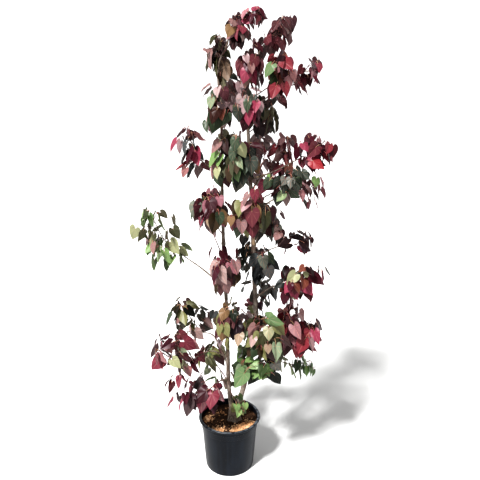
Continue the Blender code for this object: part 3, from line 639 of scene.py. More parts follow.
MASSES = {               # centre, half sizes, leaves, leaf size, colour, stem and height of its root
    "leader_tip":        ((0.109, 0.00, 2.08), (0.064, 0.06, 0.043), 10, 0.78, "rose", "left", None),
    "left_top":          ((0.044, -0.07, 1.985), (0.064, 0.07, 0.057), 12, 0.80, "maroon", "left", 1.93),
    "left_shoulder":     ((-0.048, 0.05, 1.922), (0.064, 0.085, 0.108), 17, 0.90, "mauve", "left", 1.82),
    "left_upper":        ((-0.033, -0.09, 1.70), (0.068, 0.085, 0.105), 14, 0.95, "mauve", "left", 1.60),
    "right_leader":      ((0.093, -0.05, 1.876), (0.06, 0.075, 0.104), 16, 0.85, "maroon", "right", 1.79),
    "right_top":         ((0.20, 0.02, 2.005), (0.074, 0.085, 0.072), 14, 0.78, "maroon", "right", None),
    "right_upper":       ((0.196, -0.09, 1.828), (0.07, 0.08, 0.092), 14, 0.88, "crimson", "right", 1.75),
    "right_top_twig":    ((0.325, 0.04, 1.85), (0.078, 0.07, 0.066), 8, 0.85, "rose", "right", 1.70),
    "centre_upper":      ((0.08, -0.10, 1.71), (0.07, 0.075, 0.086), 14, 0.88, "deep_green", "right", 1.66),
    "right_small":       ((0.18, 0.07, 1.66), (0.062, 0.08, 0.105), 12, 0.95, "deep_green", "right", 1.62),
    "left_middle":       ((-0.02, -0.06, 1.515), (0.062, 0.085, 0.13), 16, 0.85, "olive", "left", 1.46),
    "left_twig":         ((-0.17, 0.02, 1.535), (0.078, 0.075, 0.108), 10, 0.90, "crimson", "left", 1.44),
    "centre_middle":     ((0.06, -0.13, 1.465), (0.07, 0.085, 0.118), 16, 0.90, "deep_green", "right", 1.40),
    "right_crown_inner": ((0.22, 0.05, 1.50), (0.092, 0.10, 0.112), 17, 0.95, "crimson", "right", 1.36),
    "right_crown_outer": ((0.36, -0.10, 1.545), (0.084, 0.085, 0.08), 14, 0.85, "crimson", "right", 1.42),
    "right_middle":      ((0.22, -0.17, 1.41), (0.09, 0.085, 0.078), 14, 0.80, "deep_green", "right", 1.31),
    "right_mid_outer":   ((0.365, 0.10, 1.35), (0.086, 0.085, 0.084), 12, 0.82, "rose", "right", 1.26),
    "band_left":         ((-0.08, -0.08, 1.285), (0.092, 0.10, 0.112), 19, 0.90, "mauve", "left", 1.17),
    "band_front":        ((0.09, -0.20, 1.295), (0.09, 0.09, 0.096), 16, 0.90, "olive", "right", 1.20),
    "band_back":         ((0.17, 0.20, 1.225), (0.11, 0.11, 0.112), 14, 1.00, "deep_green", "right", 1.08),
    "right_small_twig":  ((0.295, -0.06, 1.165), (0.076, 0.075, 0.084), 10, 0.80, "maroon", "right", 1.05),
    "centre_low":        ((0.136, 0.00, 1.035), (0.114, 0.095, 0.097), 14, 0.75, "deep_green", "right", 0.98),
    "far_left":          ((-0.298, -0.04, 1.165), (0.146, 0.11, 0.142), 26, 0.78, "leaf_green", "left", 0.91),
    "left_stem_mid":     ((-0.01, -0.06, 1.03), (0.074, 0.09, 0.118), 16, 0.90, "maroon", "left", 0.97),
    "left_stem_low":     ((0.01, -0.09, 0.79), (0.078, 0.09, 0.104), 16, 0.85, "olive", "left", 0.72),
    "left_low_upper":    ((-0.19, 0.10, 0.73), (0.112, 0.11, 0.112), 17, 0.85, "mauve", "left", 0.53),
    "left_low_outer":    ((-0.24, -0.12, 0.63), (0.122, 0.115, 0.132), 20, 0.85, "crimson", "left", 0.57),
    "left_low_inner":    ((-0.082, 0.07, 0.507), (0.075, 0.09, 0.125), 14, 0.85, "olive", "left", 0.44),
    "left_bottom":       ((-0.15, -0.13, 0.44), (0.126, 0.10, 0.08), 14, 0.90, "rose", "left", 0.46),
    "right_low_mid":     ((0.33, -0.10, 1.00), (0.134, 0.095, 0.084), 18, 0.85, "maroon", "right", 0.86),
    "centre_low_in":     ((0.17, 0.14, 0.85), (0.08, 0.085, 0.076), 10, 0.80, "deep_green", "right", 0.81),
    "right_bush_upper":  ((0.345, 0.03, 0.705), (0.106, 0.105, 0.139), 19, 0.95, "olive", "right", 0.72),
    "right_bush_inner":  ((0.15, -0.12, 0.72), (0.088, 0.09, 0.112), 16, 0.90, "rose", "right", 0.64),
    "right_bush_lower":  ((0.14, -0.10, 0.56), (0.115, 0.10, 0.108), 17, 0.95, "leaf_green", "right", 0.47),
    "right_low_twig":    ((0.36, 0.08, 0.495), (0.084, 0.075, 0.072), 9, 0.80, "crimson", "right", 0.51),
    "foot_leaves":       ((0.04, -0.06, 0.345), (0.045, 0.04, 0.07), 6, 0.60, "leaf_green", "left", 0.40),
    "back_upper":        ((0.03, 0.20, 1.78), (0.092, 0.095, 0.108), 12, 0.95, "mauve", "left", 1.66),
    "back_middle":       ((0.12, 0.25, 1.49), (0.11, 0.10, 0.11), 14, 0.95, "crimson", "right", 1.40),
    "back_low":          ((0.08, 0.22, 0.64), (0.118, 0.11, 0.12), 14, 0.95, "olive", "right", 0.53),
    "left_back":         ((-0.10, 0.24, 1.20), (0.10, 0.105, 0.112), 12, 0.95, "mauve", "left", 1.05),
}
BOUGHS = {               # radius at the stem and arch
    "right_top_twig": (0.0030, 0.015), "left_twig": (0.0030, 0.000), "right_crown_inner": (0.0042, 0.020),
    "right_crown_outer": (0.0042, -0.010), "right_mid_outer": (0.0040, 0.030), "band_back": (0.0042, 0.010),
    "right_small_twig": (0.0032, 0.010), "far_left": (0.0050, 0.010), "left_low_upper": (0.0042, 0.060),
    "left_low_outer": (0.0042, 0.035), "left_bottom": (0.0034, 0.010), "right_low_mid": (0.0046, 0.020),
    "right_bush_upper": (0.0042, -0.010), "right_low_twig": (0.0032, 0.030), "back_middle": (0.0040, 0.010),
}
BOUGH_TIP_RADIUS = 0.0019
BOUGH_REACH = 0.80
NODE_GAP = (0.038, 0.070)        # between old leaf nodes along a limb
NODE_SWELL = 0.0011
NODE_LENGTH = 0.0045
COLLAR_LENGTH = 0.014
BARK_RIDGES = (260.0, 45.0)      # to the metre, round the limb and along it
BARK_PLATES = 90.0
RIDGE_DEPTH = 0.00025
KNOT_SPREAD = 0.00016
KNOTS = (                # place across and up, and how far each stands out
    (-0.0155, 0.91, 0.0042), (0.1265, 0.826, 0.0046), (-0.0225, 1.134, 0.0030), (0.113, 1.19, 0.0030))
PORE_NUMBER = 9000.0     # to the square metre
PORES_FROM = 0.245
BARK_BROWN = (0.120, 0.084, 0.064)
BARK_GREY = (0.235, 0.200, 0.170)
BARK_DARK = (0.038, 0.024, 0.018)
BARK_TAN = (0.330, 0.235, 0.150)
PORE_PALE = (0.420, 0.330, 0.250)


def smooth_curve(points, steps):
    """Points on a Catmull-Rom curve through the waypoints, with the given number of steps between two."""
    way = [Vector(p) for p in points]
    way = [2.0 * way[0] - way[1]] + way + [2.0 * way[-1] - way[-2]]
    curve = []
    for a, b, c, d in zip(way, way[1:], way[2:], way[3:]):
        for i in range(steps):
            t = i / steps
            curve.append(0.5 * (2.0 * b + (c - a) * t + (2.0 * a - 5.0 * b + 4.0 * c - d) * t * t
                                + (3.0 * b - a - 3.0 * c + d) * t * t * t))
    curve.append(way[-2])
    return curve


def tapered(count, radii, power=1.0):
    """Radii from the first value to the second along a limb."""
    start, end = radii
    return [start + (end - start) * (i / (count - 1)) ** power for i in range(count)]


def column(rings, sides):
    """Faces of a closed column of rings, with flat ends."""
    top = (rings - 1) * sides
    return [tuple(range(sides))[::-1], tuple(range(top, top + sides))] + bands(rings, sides)


def tube(points, radii, sides, level_start=False, shape=None):
    """A closed limb: a ring at each point, square to the limb, with flat ends."""
    verts = []
    side = None
    for i, point in enumerate(points):
        ahead = points[min(i + 1, len(points) - 1)] - points[max(i - 1, 0)]
        along = UP.copy() if level_start and i == 0 else ahead.normalized()
        if side is None:
            side = along.orthogonal()
        side = (side - along * side.dot(along)).normalized()
        other = along.cross(side)
        for k in range(sides):
            turn = math.tau * k / sides
            way = math.cos(turn) * side + math.sin(turn) * other
            reach = radii[i] if shape is None else shape(i, point, way, radii[i])
            verts.append(point + reach * way)
    return verts, column(len(points), sides)


@cache
def stem_line(name, steps=2):
    """A stem's axis from the fork to its tip, and its radii."""
    spec = STEMS[name]
    points = smooth_curve(spec["way"], steps)
    return points, tapered(len(points), spec["radii"], spec["taper"])


def on_stem(name, height):
    """The stem's axis point and radius at a height."""
    points, radii = stem_line(name)
    for a, b, ra, rb in zip(points, points[1:], radii, radii[1:]):
        if a.z <= height <= b.z:
            t = (height - a.z) / (b.z - a.z)
            return a.lerp(b, t), ra + (rb - ra) * t
    return points[-1], radii[-1]


def bough_line(mass, steps=2):
    """A bough's axis: out of the stem, arching, into the edge of the mass that it carries."""
    centre, half, _, _, _, stem, height = MASSES[mass]
    radius, arch = BOUGHS[mass]
    start, _ = on_stem(stem, height)
    centre = Vector(centre)
    away = centre - start
    share = Vector([away[i] / half[i] for i in range(3)]).length
    tip = centre - away * (BOUGH_REACH / share)
    points = smooth_curve((start, start.lerp(tip, 0.5) + UP * arch, tip), steps)
    return points, tapered(len(points), (radius, BOUGH_TIP_RADIUS))


def bark_relief(place, reach):
    """How far the bark stands out: long ridges, finer ones across them, and old knots."""
    round_it, along_it = BARK_RIDGES
    ridges = noise.noise(Vector((place.x * round_it, place.y * round_it, place.z * along_it)))
    plates = noise.noise(place * BARK_PLATES)
    knots = sum(size * math.exp(-((place.x - x) ** 2 + (place.z - z) ** 2) / KNOT_SPREAD)
                for x, z, size in KNOTS)
    return reach * (0.055 * ridges + 0.07 * plates) + RIDGE_DEPTH * ridges + knots


def limb(points, radii, sides, seed, collar=0.0):
    """A limb with its bark: nodes that swell on one side, and a collar where it leaves its carrier."""
    rng = Random(seed)
    nodes = []
    run, runs = 0.0, [0.0]
    for a, b in zip(points, points[1:]):
        run += (b - a).length
        runs.append(run)
    at = rng.uniform(*NODE_GAP)
    while at < run:
        side = Vector([rng.uniform(-1.0, 1.0) for _ in range(3)]).normalized()
        nodes.append((at, side))
        at += rng.uniform(*NODE_GAP)

    def shape(i, point, way, radius):
        """The limb's reach from its axis at a ring, to one side."""
        near = [(runs[i] - at, side) for at, side in nodes if abs(runs[i] - at) < 0.012]
        swell = sum(NODE_SWELL * math.exp(-(off / NODE_LENGTH) ** 2) * (0.6 + 0.7 * max(way.dot(side), 0.0))
                    for off, side in near)
        spread = collar * math.exp(-runs[i] / COLLAR_LENGTH)
        return radius + bark_relief(point + way * radius, radius) + swell * min(1.0, radius / 0.006) + spread

    return tube(points, radii, sides, shape=shape)


def bark_finish(place):
    """Brown bark with grey patches, dark streaks and cracks, and tan scars."""
    streaks = clouds(place, 210.0, 5.0, (1.0, 1.0, 0.16))
    patches = clouds(place, 24.0, 3.0, (1.0, 1.0, 0.6))
    cracks = clouds(place, 330.0, 3.0, (1.0, 1.0, 0.25)).between(0.54, 0.66)
    scars = clouds(place, 11.0, 2.0).between(0.60, 0.70)
    colour = mix_colours(patches.between(0.38, 0.64), BARK_BROWN, BARK_GREY)
    colour = mix_colours(streaks.between(0.40, 0.70) * 0.5, colour, BARK_DARK)
    colour = mix_colours(scars * 0.6, colour, BARK_TAN)
    colour = mix_colours(cracks * 0.7, colour, BARK_DARK)
    return {"Base Color": colour, "Roughness": 0.72 + 0.18 * cracks,
            "Normal": bump(streaks * 0.6 - cracks * 0.4, 0.0012, 0.8)}


def foot_ring(rise, sides, low, height, shrink=1.0):
    """A ring of the trunk's foot, which is lobed where it flares, from 0 at the mix to 1 at the fork."""
    spread = max(1.0 - rise, 0.0) ** FLARE_POWER
    ring = []
    for k in range(sides):
        turn = math.tau * k / sides
        lobe = 1.0 + LOBE_DEPTH * spread * math.cos(ROOT_LOBES * turn + LOBE_TURN)
        x = (FOOT_TOP[0] + (FOOT_FLARE[0] - FOOT_TOP[0]) * spread) * lobe * math.cos(turn) * shrink
        y = (FOOT_TOP[1] + (FOOT_FLARE[1] - FOOT_TOP[1]) * spread) * lobe * math.sin(turn) * shrink
        ring.append(Vector((FOOT_CENTRE + x, y, low + height * rise)))
    return ring


def foot_shape():
    """The trunk's foot from under the mix to the fork, where it is rounded over."""
    verts = []
    rings = FOOT_RINGS + 3
    for ring in range(rings):
        shrink = 1.0 - 0.16 * max(ring - FOOT_ROUNDED, 0) ** 1.15 / 1.4
        verts += foot_ring(ring / FOOT_RINGS, FOOT_SIDES, MIX_CROWN - FOOT_SUNK,
                           FORK_HEIGHT - MIX_CROWN + 0.006, shrink)
    return verts, column(rings, FOOT_SIDES)


def pore_finish(place):
    """Pale cork, here and there as dark as the bark's tan."""
    return {"Base Color": mix_colours(clouds(place, 150.0), PORE_PALE, BARK_TAN)}


def joined(solids):
    """Vertices and faces of several solids in one."""
    verts, faces = [], []
    for solid_verts, solid_faces in solids:
        faces += [tuple(len(verts) + i for i in face) for face in solid_faces]
        verts += solid_verts
    return verts, faces


def blended(solids, voxel, rounds):
    """One smooth skin over several solids that run into each other."""
    mesh = bpy.data.meshes.new("joined")
    verts, faces = joined(solids)
    mesh.from_pydata(verts, [], faces)
    body = bpy.data.objects.new("joined", mesh)
    bpy.context.scene.collection.objects.link(body)
    skin = body.modifiers.new("skin", "REMESH")
    skin.mode = "VOXEL"
    skin.voxel_size = voxel
    smooth = body.modifiers.new("smooth", "SMOOTH")
    smooth.iterations = rounds
    done = bpy.data.meshes.new_from_object(body.evaluated_get(bpy.context.evaluated_depsgraph_get()))
    bpy.data.objects.remove(body)
    return done


bark = finish_material("bark", BARK_BROWN, 0.8, bark_finish, 0.3)
stubs = []
for name in STEMS:
    points, radii = stem_line(name, 20)
    swell, loss = STUB_SWELL
    widths = [r * (swell - loss * i / (STUB_POINTS - 1)) for i, r in enumerate(radii[:STUB_POINTS])]
    stubs.append(tube([points[0] - UP * STUB_SUNK] + points[:STUB_POINTS], [radii[0] * swell] + widths, 20))
foot_mesh = blended([foot_shape(), *stubs], FOOT_VOXEL, FOOT_SMOOTHING)
for vert in foot_mesh.vertices:
    vert.co += vert.normal * bark_relief(vert.co, 0.012)
foot_mesh.materials.append(bark)
foot_mesh.shade_smooth()
add_piece("trunk_base", foot_mesh, "bark", "trunk_foot")
limb_meshes = {"base": foot_mesh}
for number, name in enumerate(STEMS):
    solid = limb(*stem_line(name, STEM_STEPS), STEM_SIDES, 500 + number)
    limb_meshes[name] = smooth_mesh(name, *solid, bark)
    add_piece(name + "_stem_bark", limb_meshes[name], "bark", name + "_stem")
bough_solids = []
for number, mass in enumerate(BOUGHS):
    points, radii = bough_line(mass, BOUGH_STEPS)
    bough_solids.append(limb(points, radii, BOUGH_SIDES, 520 + number, BOUGH_COLLAR * radii[0]))
limb_meshes["bough"] = smooth_mesh("bough", *joined(bough_solids), bark)
add_piece("bough_bark", limb_meshes["bough"], "bark", *["bough_" + mass for mass in BOUGHS])

pore_cork = finish_material("pore_cork", PORE_PALE, 0.85, pore_finish)
pores = shelf("pores", [lump(f"pore_{i}", 380 + i, (0.0011, 0.0006, 0.0004), 8) for i in range(3)])
for part, mesh in limb_meshes.items():
    marked = strewing(mesh, lambda vert: 1.0 if vert.co.z > PORES_FROM else 0.0)
    dotted = grown(marked, scatter, shapes=pores, number_to_the_square_metre=PORE_NUMBER,
                   smallest=0.6, largest=1.3, sunk=0.0, seed=9, finish=pore_cork)
    add_piece(part + "_pores", dotted, "bark")


# ---- growth of the masses ----------------------------------------------------------------------------------
# Each mass of foliage has a stem of its own, and twigs that leave it by turns with leaves spread evenly along
# them, in the space between its neighbours.  Finer shoots with young, smaller leaves then fill what room is
# left: more where the crown is full, and none where it lets light through.
COARSE_RINGS = 5
COARSE_FOOT_SIDES = 15
COARSE_STEM_SIDES = 6
COARSE_BOUGH_SIDES = 5
LEAF_LENGTH = 0.096      # a full leaf's blade
LEAF_WIDTH = 0.088
STALK_LENGTH = 0.026
LEAF_WIDEST = 0.42
LEAF_THICKNESS = 0.0030
MASS_STEM_RADII = (0.0028, 0.0021)
TWIG_RADII = (0.0014, 0.0013)
LEAF_SIZES = (0.75, 1.10)
LEAF_REACH = 1.22
LEAF_SPACING = 0.015
SHORTEST_TWIG = 0.020
STRAIGHT_START = 0.012
LEAST_STRAIGHT = 0.6
STEM_PAST = 0.55
STEM_RISE = 0.30
STEM_WANDER = 0.25
STEM_TRIES = 200
ROOT_ROOM = 0.003
GOLDEN_ANGLE = math.radians(137.5)
LEAVES_A_TWIG = 5
TWIG_FIRST = 0.4
TWIG_LEAN = (0.45, 0.30)
TWIG_REACH = (0.85, 1.10)
TIP_SETBACK = 0.0020
SPARE = 0.0012
OWN_MARGIN = 0.03
NEIGHBOUR_REACH = 0.50
LEAF_TRIES = 8
LEAF_ROUNDS = 4
LEAF_SHRINK = 0.90
SEED = 41
SHOOT_LENGTHS = (0.025, 0.070)
SHOOT_CHANCE = 0.50      # at each free place along a twig or the stem
SHOOT_REACH = 2.10       # shoots leave the stem where it is so near the mass's ellipsoid
SHOOT_ROOM = (0.0012, 0.0010)    # radii of the space that a shoot needs
SHOOT_RADII = (0.0008, 0.0006)
YOUNG_REACH = (1.14, 1.28)       # of the middles and tips of young leaves, against the ellipsoid
BESIDE_STEM = 0.075      # young leaves so near to the tree's stem reach further along it
STEM_REACH = (1.80, 2.10)
YOUNG_SIZES = (0.48, 0.84)
YOUNG_SHARE = 1.20       # young leaves against the mass's full ones
BUSH_SIZES = (0.68, 1.00)        # and low down on the right, where leaves are large and close together
BUSH_SHARE = 2.20
YOUNG_WIDTH = 0.062      # of the space kept for one of size 1, where a full leaf has LEAF_WIDTH
YOUNG_HANG = (0.5, 1.3)
FULL_HANG = (0.5, 1.1)
BOX_MARGIN = 0.006
SHOOT_TRIES = 5
LONG_SHOOT = 1.5
THICK_GAIN = 0.05        # how much sooner a thick part of the crown is filled
THIN = (                 # ellipses where the crown lets light through, seen from the front: middle and halves
    (-0.155, 1.345, 0.045, 0.065), (-0.120, 1.930, 0.030, 0.070), (-0.105, 1.720, 0.022, 0.075),
    (0.065, 0.800, 0.042, 0.085), (0.160, 0.405, 0.125, 0.050), (0.400, 0.770, 0.034, 0.070),
    (-0.200, 1.235, 0.035, 0.060), (0.400, 1.615, 0.060, 0.028), (0.310, 1.300, 0.040, 0.030),
    (0.300, 1.105, 0.045, 0.050), (-0.155, 0.755, 0.045, 0.028), (-0.290, 0.500, 0.050, 0.040),
    (0.000, 2.110, 0.050, 0.035), (-0.055, 1.070, 0.026, 0.050), (0.025, 1.900, 0.018, 0.040),
)
THICK = (                # and ellipses where it is full
    (0.170, 1.575, 0.045, 0.030), (0.245, 1.575, 0.045, 0.030), (0.060, 1.090, 0.035, 0.075),
    (0.055, 0.975, 0.025, 0.070), (0.045, 0.620, 0.030, 0.060), (0.040, 0.500, 0.028, 0.075),
    (0.330, 0.665, 0.060, 0.055), (0.285, 0.735, 0.045, 0.055), (0.245, 0.610, 0.050, 0.050),
    (0.385, 0.660, 0.050, 0.040), (0.200, 0.800, 0.055, 0.050), (0.270, 0.840, 0.045, 0.025),
    (-0.120, 0.610, 0.030, 0.060), (-0.110, 0.470, 0.050, 0.030), (-0.040, 0.440, 0.035, 0.030),
    (-0.360, 1.240, 0.035, 0.040), (-0.345, 1.130, 0.030, 0.045), (-0.175, 1.070, 0.032, 0.060),
    (0.030, 1.620, 0.025, 0.050), (-0.055, 1.615, 0.030, 0.025), (0.145, 1.840, 0.022, 0.050),
    (0.210, 1.760, 0.040, 0.025), (0.230, 1.910, 0.030, 0.030), (0.240, 2.050, 0.030, 0.025),
    (0.370, 1.880, 0.022, 0.035), (0.310, 1.460, 0.035, 0.050), (0.030, 1.375, 0.025, 0.030),
    (0.115, 1.370, 0.025, 0.030), (0.215, 1.190, 0.022, 0.045), (0.145, 2.060, 0.025, 0.020),
    (0.020, 2.045, 0.022, 0.035), (0.115, 1.965, 0.030, 0.022), (-0.075, 1.405, 0.020, 0.025),
)


def leaf_solid(root, along, across, size, spare=0.0, width=LEAF_WIDTH):
    """The space that a leaf takes: a thin solid of four faces, widest between its root and its tip."""
    length = (STALK_LENGTH + LEAF_LENGTH) * size
    half = 0.5 * width * size + spare
    face = across.cross(along)
    wide = root + along * length * LEAF_WIDEST + face * (LEAF_THICKNESS * size + spare)
    back = face * spare
    verts = [root + along * 4.0 * spare - back, wide - across * half, wide + across * half,
             root + along * (length + spare) - back]
    return verts, [(0, 1, 2), (2, 1, 3), (1, 0, 3), (0, 2, 3)]


def tree_of(solids):
    """One search tree over the faces of several solids."""
    return BVHTree.FromPolygons(*joined(solids))


def depth(point, mass):
    """How far out a point is in the mass's ellipsoid: 0 in the middle and 1 at the border."""
    centre, half = MASSES[mass][:2]
    return math.sqrt(sum(((point[i] - centre[i]) / half[i]) ** 2 for i in range(3)))


def in_own_space(point, mass, reach=1.0):
    """True within the mass's ellipsoid, or that many times its size, and nearer to it than to any other."""
    own = depth(point, mass)
    return own <= reach and all(depth(point, name) > own + OWN_MARGIN for name in neighbours[mass])


def has_room(limb_tree, walls, point, room):
    """True outside every limb, and at least so far from each solid."""
    near, normal, _, _ = limb_tree.find_nearest(point)
    return (point - near).dot(normal) > 0.0 and walls.find_nearest(point)[3] > room


def mass_stem_line(mass, walls, rng):
    """The mass's own stem: from its bough's tip or the stem, through the middle, to the far side."""
    centre, half, _, _, _, stem, height = MASSES[mass]
    centre = Vector(centre)
    from_tip = mass in BOUGHS or height is None
    if from_tip:
        points, _ = bough_line(mass) if mass in BOUGHS else stem_line(stem)
        ahead = (points[-1] - points[-2]).normalized()
        start = points[-1] + ahead * GAP
        way = [start, start + ahead * STRAIGHT_START]
    else:
        start, _ = on_stem(stem, height)
        way = [start]
    far = centre + (centre - start).normalized() * min(half) * STEM_PAST + UP * half[2] * STEM_RISE
    for _ in range(STEM_TRIES):
        bends = [Vector([rng.uniform(-STEM_WANDER, STEM_WANDER) * size for size in half]) for _ in range(2)]
        points = smooth_curve(way + [centre + bends[0], far + bends[1]], 1)
        radii = tapered(len(points), MASS_STEM_RADII)
        runs = [(b - a).normalized() for a, b in zip(points, points[1:])]
        probe = [points[0].lerp(points[1], 0.4)] + points[1:]
        if min(a.dot(b) for a, b in zip(runs, runs[1:])) < LEAST_STRAIGHT:
            continue
        if not walls.overlap(tree_of([tube(probe, [r + SPARE for r in radii], 3)])):
            break
    return points, radii


def twig_lines(mass, inside, rng):
    """Twigs that leave the mass's stem by turns, a golden angle apart, and reach towards its border."""
    half, leaves = MASSES[mass][1:3]
    twigs = []
    count = 2 + leaves // LEAVES_A_TWIG
    turn = rng.uniform(0.0, math.tau)
    for i in range(count):
        at = (i + TWIG_FIRST) / count * (len(inside) - 1)
        low = min(int(at), len(inside) - 2)
        start = inside[low].lerp(inside[low + 1], at - low)
        along = (inside[low + 1] - inside[low]).normalized()
        side = along.orthogonal().normalized()
        turn += GOLDEN_ANGLE
        outward = math.cos(turn) * side + math.sin(turn) * along.cross(side)
        lead = (outward + TWIG_LEAN[0] * along + TWIG_LEAN[1] * UP).normalized()
        reach = sum(half) / 3.0 * rng.uniform(*TWIG_REACH)
        while reach > SHORTEST_TWIG and not in_own_space(start + lead * reach, mass):
            reach *= 0.9
        if reach > SHORTEST_TWIG:
            twigs.append([start, start + lead * reach])
    return twigs


def leaf_places(lines):
    """Places for leaves: point, way of the twig, side by turns (none at its tip), and the twig's number."""
    places = []
    for number, line in enumerate(lines):
        along = (line[-1] - line[-2]).normalized()
        places.append((line[-1] - along * TIP_SETBACK, along, 0.0, number))
        side = 1.0
        for a, b in zip(line, line[1:]):
            steps = max(int((b - a).length / LEAF_SPACING), 1)
            for i in range(steps):
                places.append((a.lerp(b, (i + 0.5) / steps), (b - a).normalized(), side, number))
                side = -side
    return places


def leaf_pose(place, stem_axis, size, rng, droop=FULL_HANG):
    """A leaf at a place: its root, the way to its tip, the direction across it, and its size."""
    point, along, side, _ = place
    outward = point - stem_axis
    outward.z = 0.0
    outward = outward.normalized() if outward.length > 1e-4 else Vector((1.0, 0.0, 0.0))
    level = along.cross(UP)
    level = level.normalized() if level.length > 1e-3 else outward.orthogonal().normalized()
    jitter = Vector([rng.uniform(-1.0, 1.0) for _ in range(3)])
    out = (along * (0.5 if side else 1.0) + level * side + UP * 0.25 + jitter * 0.6).normalized()
    hang = (out * rng.uniform(0.3, 1.0) - UP * rng.uniform(*droop)).normalized()
    facing = outward * 0.5 + UP * 0.3 + Vector([rng.uniform(-1.0, 1.0) for _ in range(3)])
    return point, hang, hang.cross(facing).normalized(), size * rng.uniform(*LEAF_SIZES)


def spread_leaves(mass, places, wanted, sizes, plant, walls, rng, young=False):
    """Leaves at the places, round by round, each kept only where it has room, as far apart as they go."""
    axis, _ = on_stem(MASSES[mass][5], MASSES[mass][0][2])
    width, droop = (YOUNG_WIDTH, YOUNG_HANG) if young else (LEAF_WIDTH, FULL_HANG)
    leaves, trees, middles = plant["leaves"], plant["trees"], plant["middles"]
    wanted += len(leaves)
    for size in sizes:
        choices = []
        for number, place in enumerate(places):
            for _ in range(LEAF_TRIES):
                pose = leaf_pose(place, axis, size, rng, droop)
                verts, _ = leaf_solid(*pose, spare=SPARE, width=width)
                middle = (verts[1] + verts[2] + verts[3]) / 3.0
                near, far = YOUNG_REACH if young else (1.0, LEAF_REACH)
                if depth(middle, mass) > (STEM_REACH[0] if young else near):
                    continue
                thick = young and in_zone(middle, THICK)
                beside = young and (middle - on_stem(MASSES[mass][5], middle.z)[0]).length < BESIDE_STEM
                if thick or beside:
                    near, far = STEM_REACH
                if in_zone(middle, THIN) or in_zone(verts[3], THIN) or not in_own_space(middle, mass, near):
                    continue
                if not all(in_own_space(v, mass, far) for v in verts[1:]):
                    continue
                if young and not all(in_box(v) for v in verts):
                    continue
                clear = min([(middle - other).length for other in middles], default=1.0)
                choices.append([clear, number, pose, middle, THICK_GAIN if thick else 0.0])
        while choices and len(leaves) < wanted:
            best = max(choices, key=lambda choice: choice[0] + choice[4])
            choices.remove(best)
            _, number, pose, middle, _ = best
            probe = tree_of([leaf_solid(*pose, spare=SPARE, width=width)])
            if walls.overlap(probe) or any(probe.overlap(tree) for tree in trees):
                continue
            leaves.append((pose, places[number][3]))
            trees.append(tree_of([leaf_solid(*pose, width=width)]))
            middles.append(middle)
            places[number] = None
            choices = [choice for choice in choices if choice[1] != number]
            for choice in choices:
                choice[0] = min(choice[0], (choice[3] - middle).length)
        places[:] = [place for place in places if place]


def in_zone(point, zones):
    """True where the camera sees a point in one of the ellipses, which stand in the plane of the stems."""
    share = -CAMERA_PLACE[1] / (point.y - CAMERA_PLACE[1])
    x = CAMERA_PLACE[0] + (point.x - CAMERA_PLACE[0]) * share
    z = CAMERA_PLACE[2] + (point.z - CAMERA_PLACE[2]) * share
    return any(((x - a) / wide) ** 2 + ((z - b) / tall) ** 2 < 1.0 for a, b, wide, tall in zones)


def in_box(point):
    """True within the solids' own box, or just past it."""
    return all(cad_low[i] - BOX_MARGIN < point[i] < cad_high[i] + BOX_MARGIN for i in range(3))


def side_shoots(mass, plant, limb_tree, walls, rng):
    """Short shoots from the twigs' free places and from the stem beside the mass, clear of everything."""
    bases = [(point, along, 0.0) for point, along, side, _ in leaf_places(plant["lines"])
             if side and has_room(limb_tree, walls, point, ROOT_ROOM)]
    points, radii = stem_line(MASSES[mass][5], 10)
    bases += [(a, (b - a).normalized(), radius) for a, b, radius in zip(points, points[1:], radii)
              if in_own_space(a, mass, SHOOT_REACH) and a.z > FORK_HEIGHT + 0.03]
    shoots = []
    for point, along, radius in bases:
        level = along.orthogonal().normalized()
        for turn in range(SHOOT_TRIES):
            free = turn == 0 and rng.random() < SHOOT_CHANCE
            angle = rng.uniform(0.0, math.tau)
            outward = math.cos(angle) * level + math.sin(angle) * along.cross(level)
            lead = (outward + 0.5 * along + 0.3 * UP).normalized()
            end = point + lead * (rng.uniform(*SHOOT_LENGTHS) * (LONG_SHOOT if turn else 1.0) + radius)
            thick = in_zone(end - UP * 0.03, THICK)
            if not (free or thick) or not in_box(end):
                continue
            clear = point + lead * (1.3 * radius + ROOT_ROOM)
            probe = tree_of([tube([clear, end], SHOOT_ROOM, 3)])
            reach = STEM_REACH[0] if radius or thick else YOUNG_REACH[0]
            if in_own_space(end, mass, reach) and not walls.overlap(probe) \
                    and not any(probe.overlap(tree) for tree in plant["trees"]):
                shoots.append([point, end])
                break
    return shoots


neighbours = {}
for mass, (centre, *_) in MASSES.items():
    away = {name: (Vector(spec[0]) - Vector(centre)).length for name, spec in MASSES.items() if name != mass}
    neighbours[mass] = [name for name, distance in away.items() if distance < NEIGHBOUR_REACH]
limb_solids = []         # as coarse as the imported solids, whose growth this follows
foot_verts = []
for ring in range(COARSE_RINGS):
    foot_verts += foot_ring(ring / (COARSE_RINGS - 1), COARSE_FOOT_SIDES, MIX_CROWN + GAP,
                            FORK_HEIGHT - 2.0 * GAP - MIX_CROWN)
limb_solids.append((foot_verts, column(COARSE_RINGS, COARSE_FOOT_SIDES)))
limb_solids += [tube(*stem_line(name), COARSE_STEM_SIDES, level_start=True) for name in STEMS]
limb_solids += [tube(*bough_line(mass), COARSE_BOUGH_SIDES) for mass in BOUGHS]

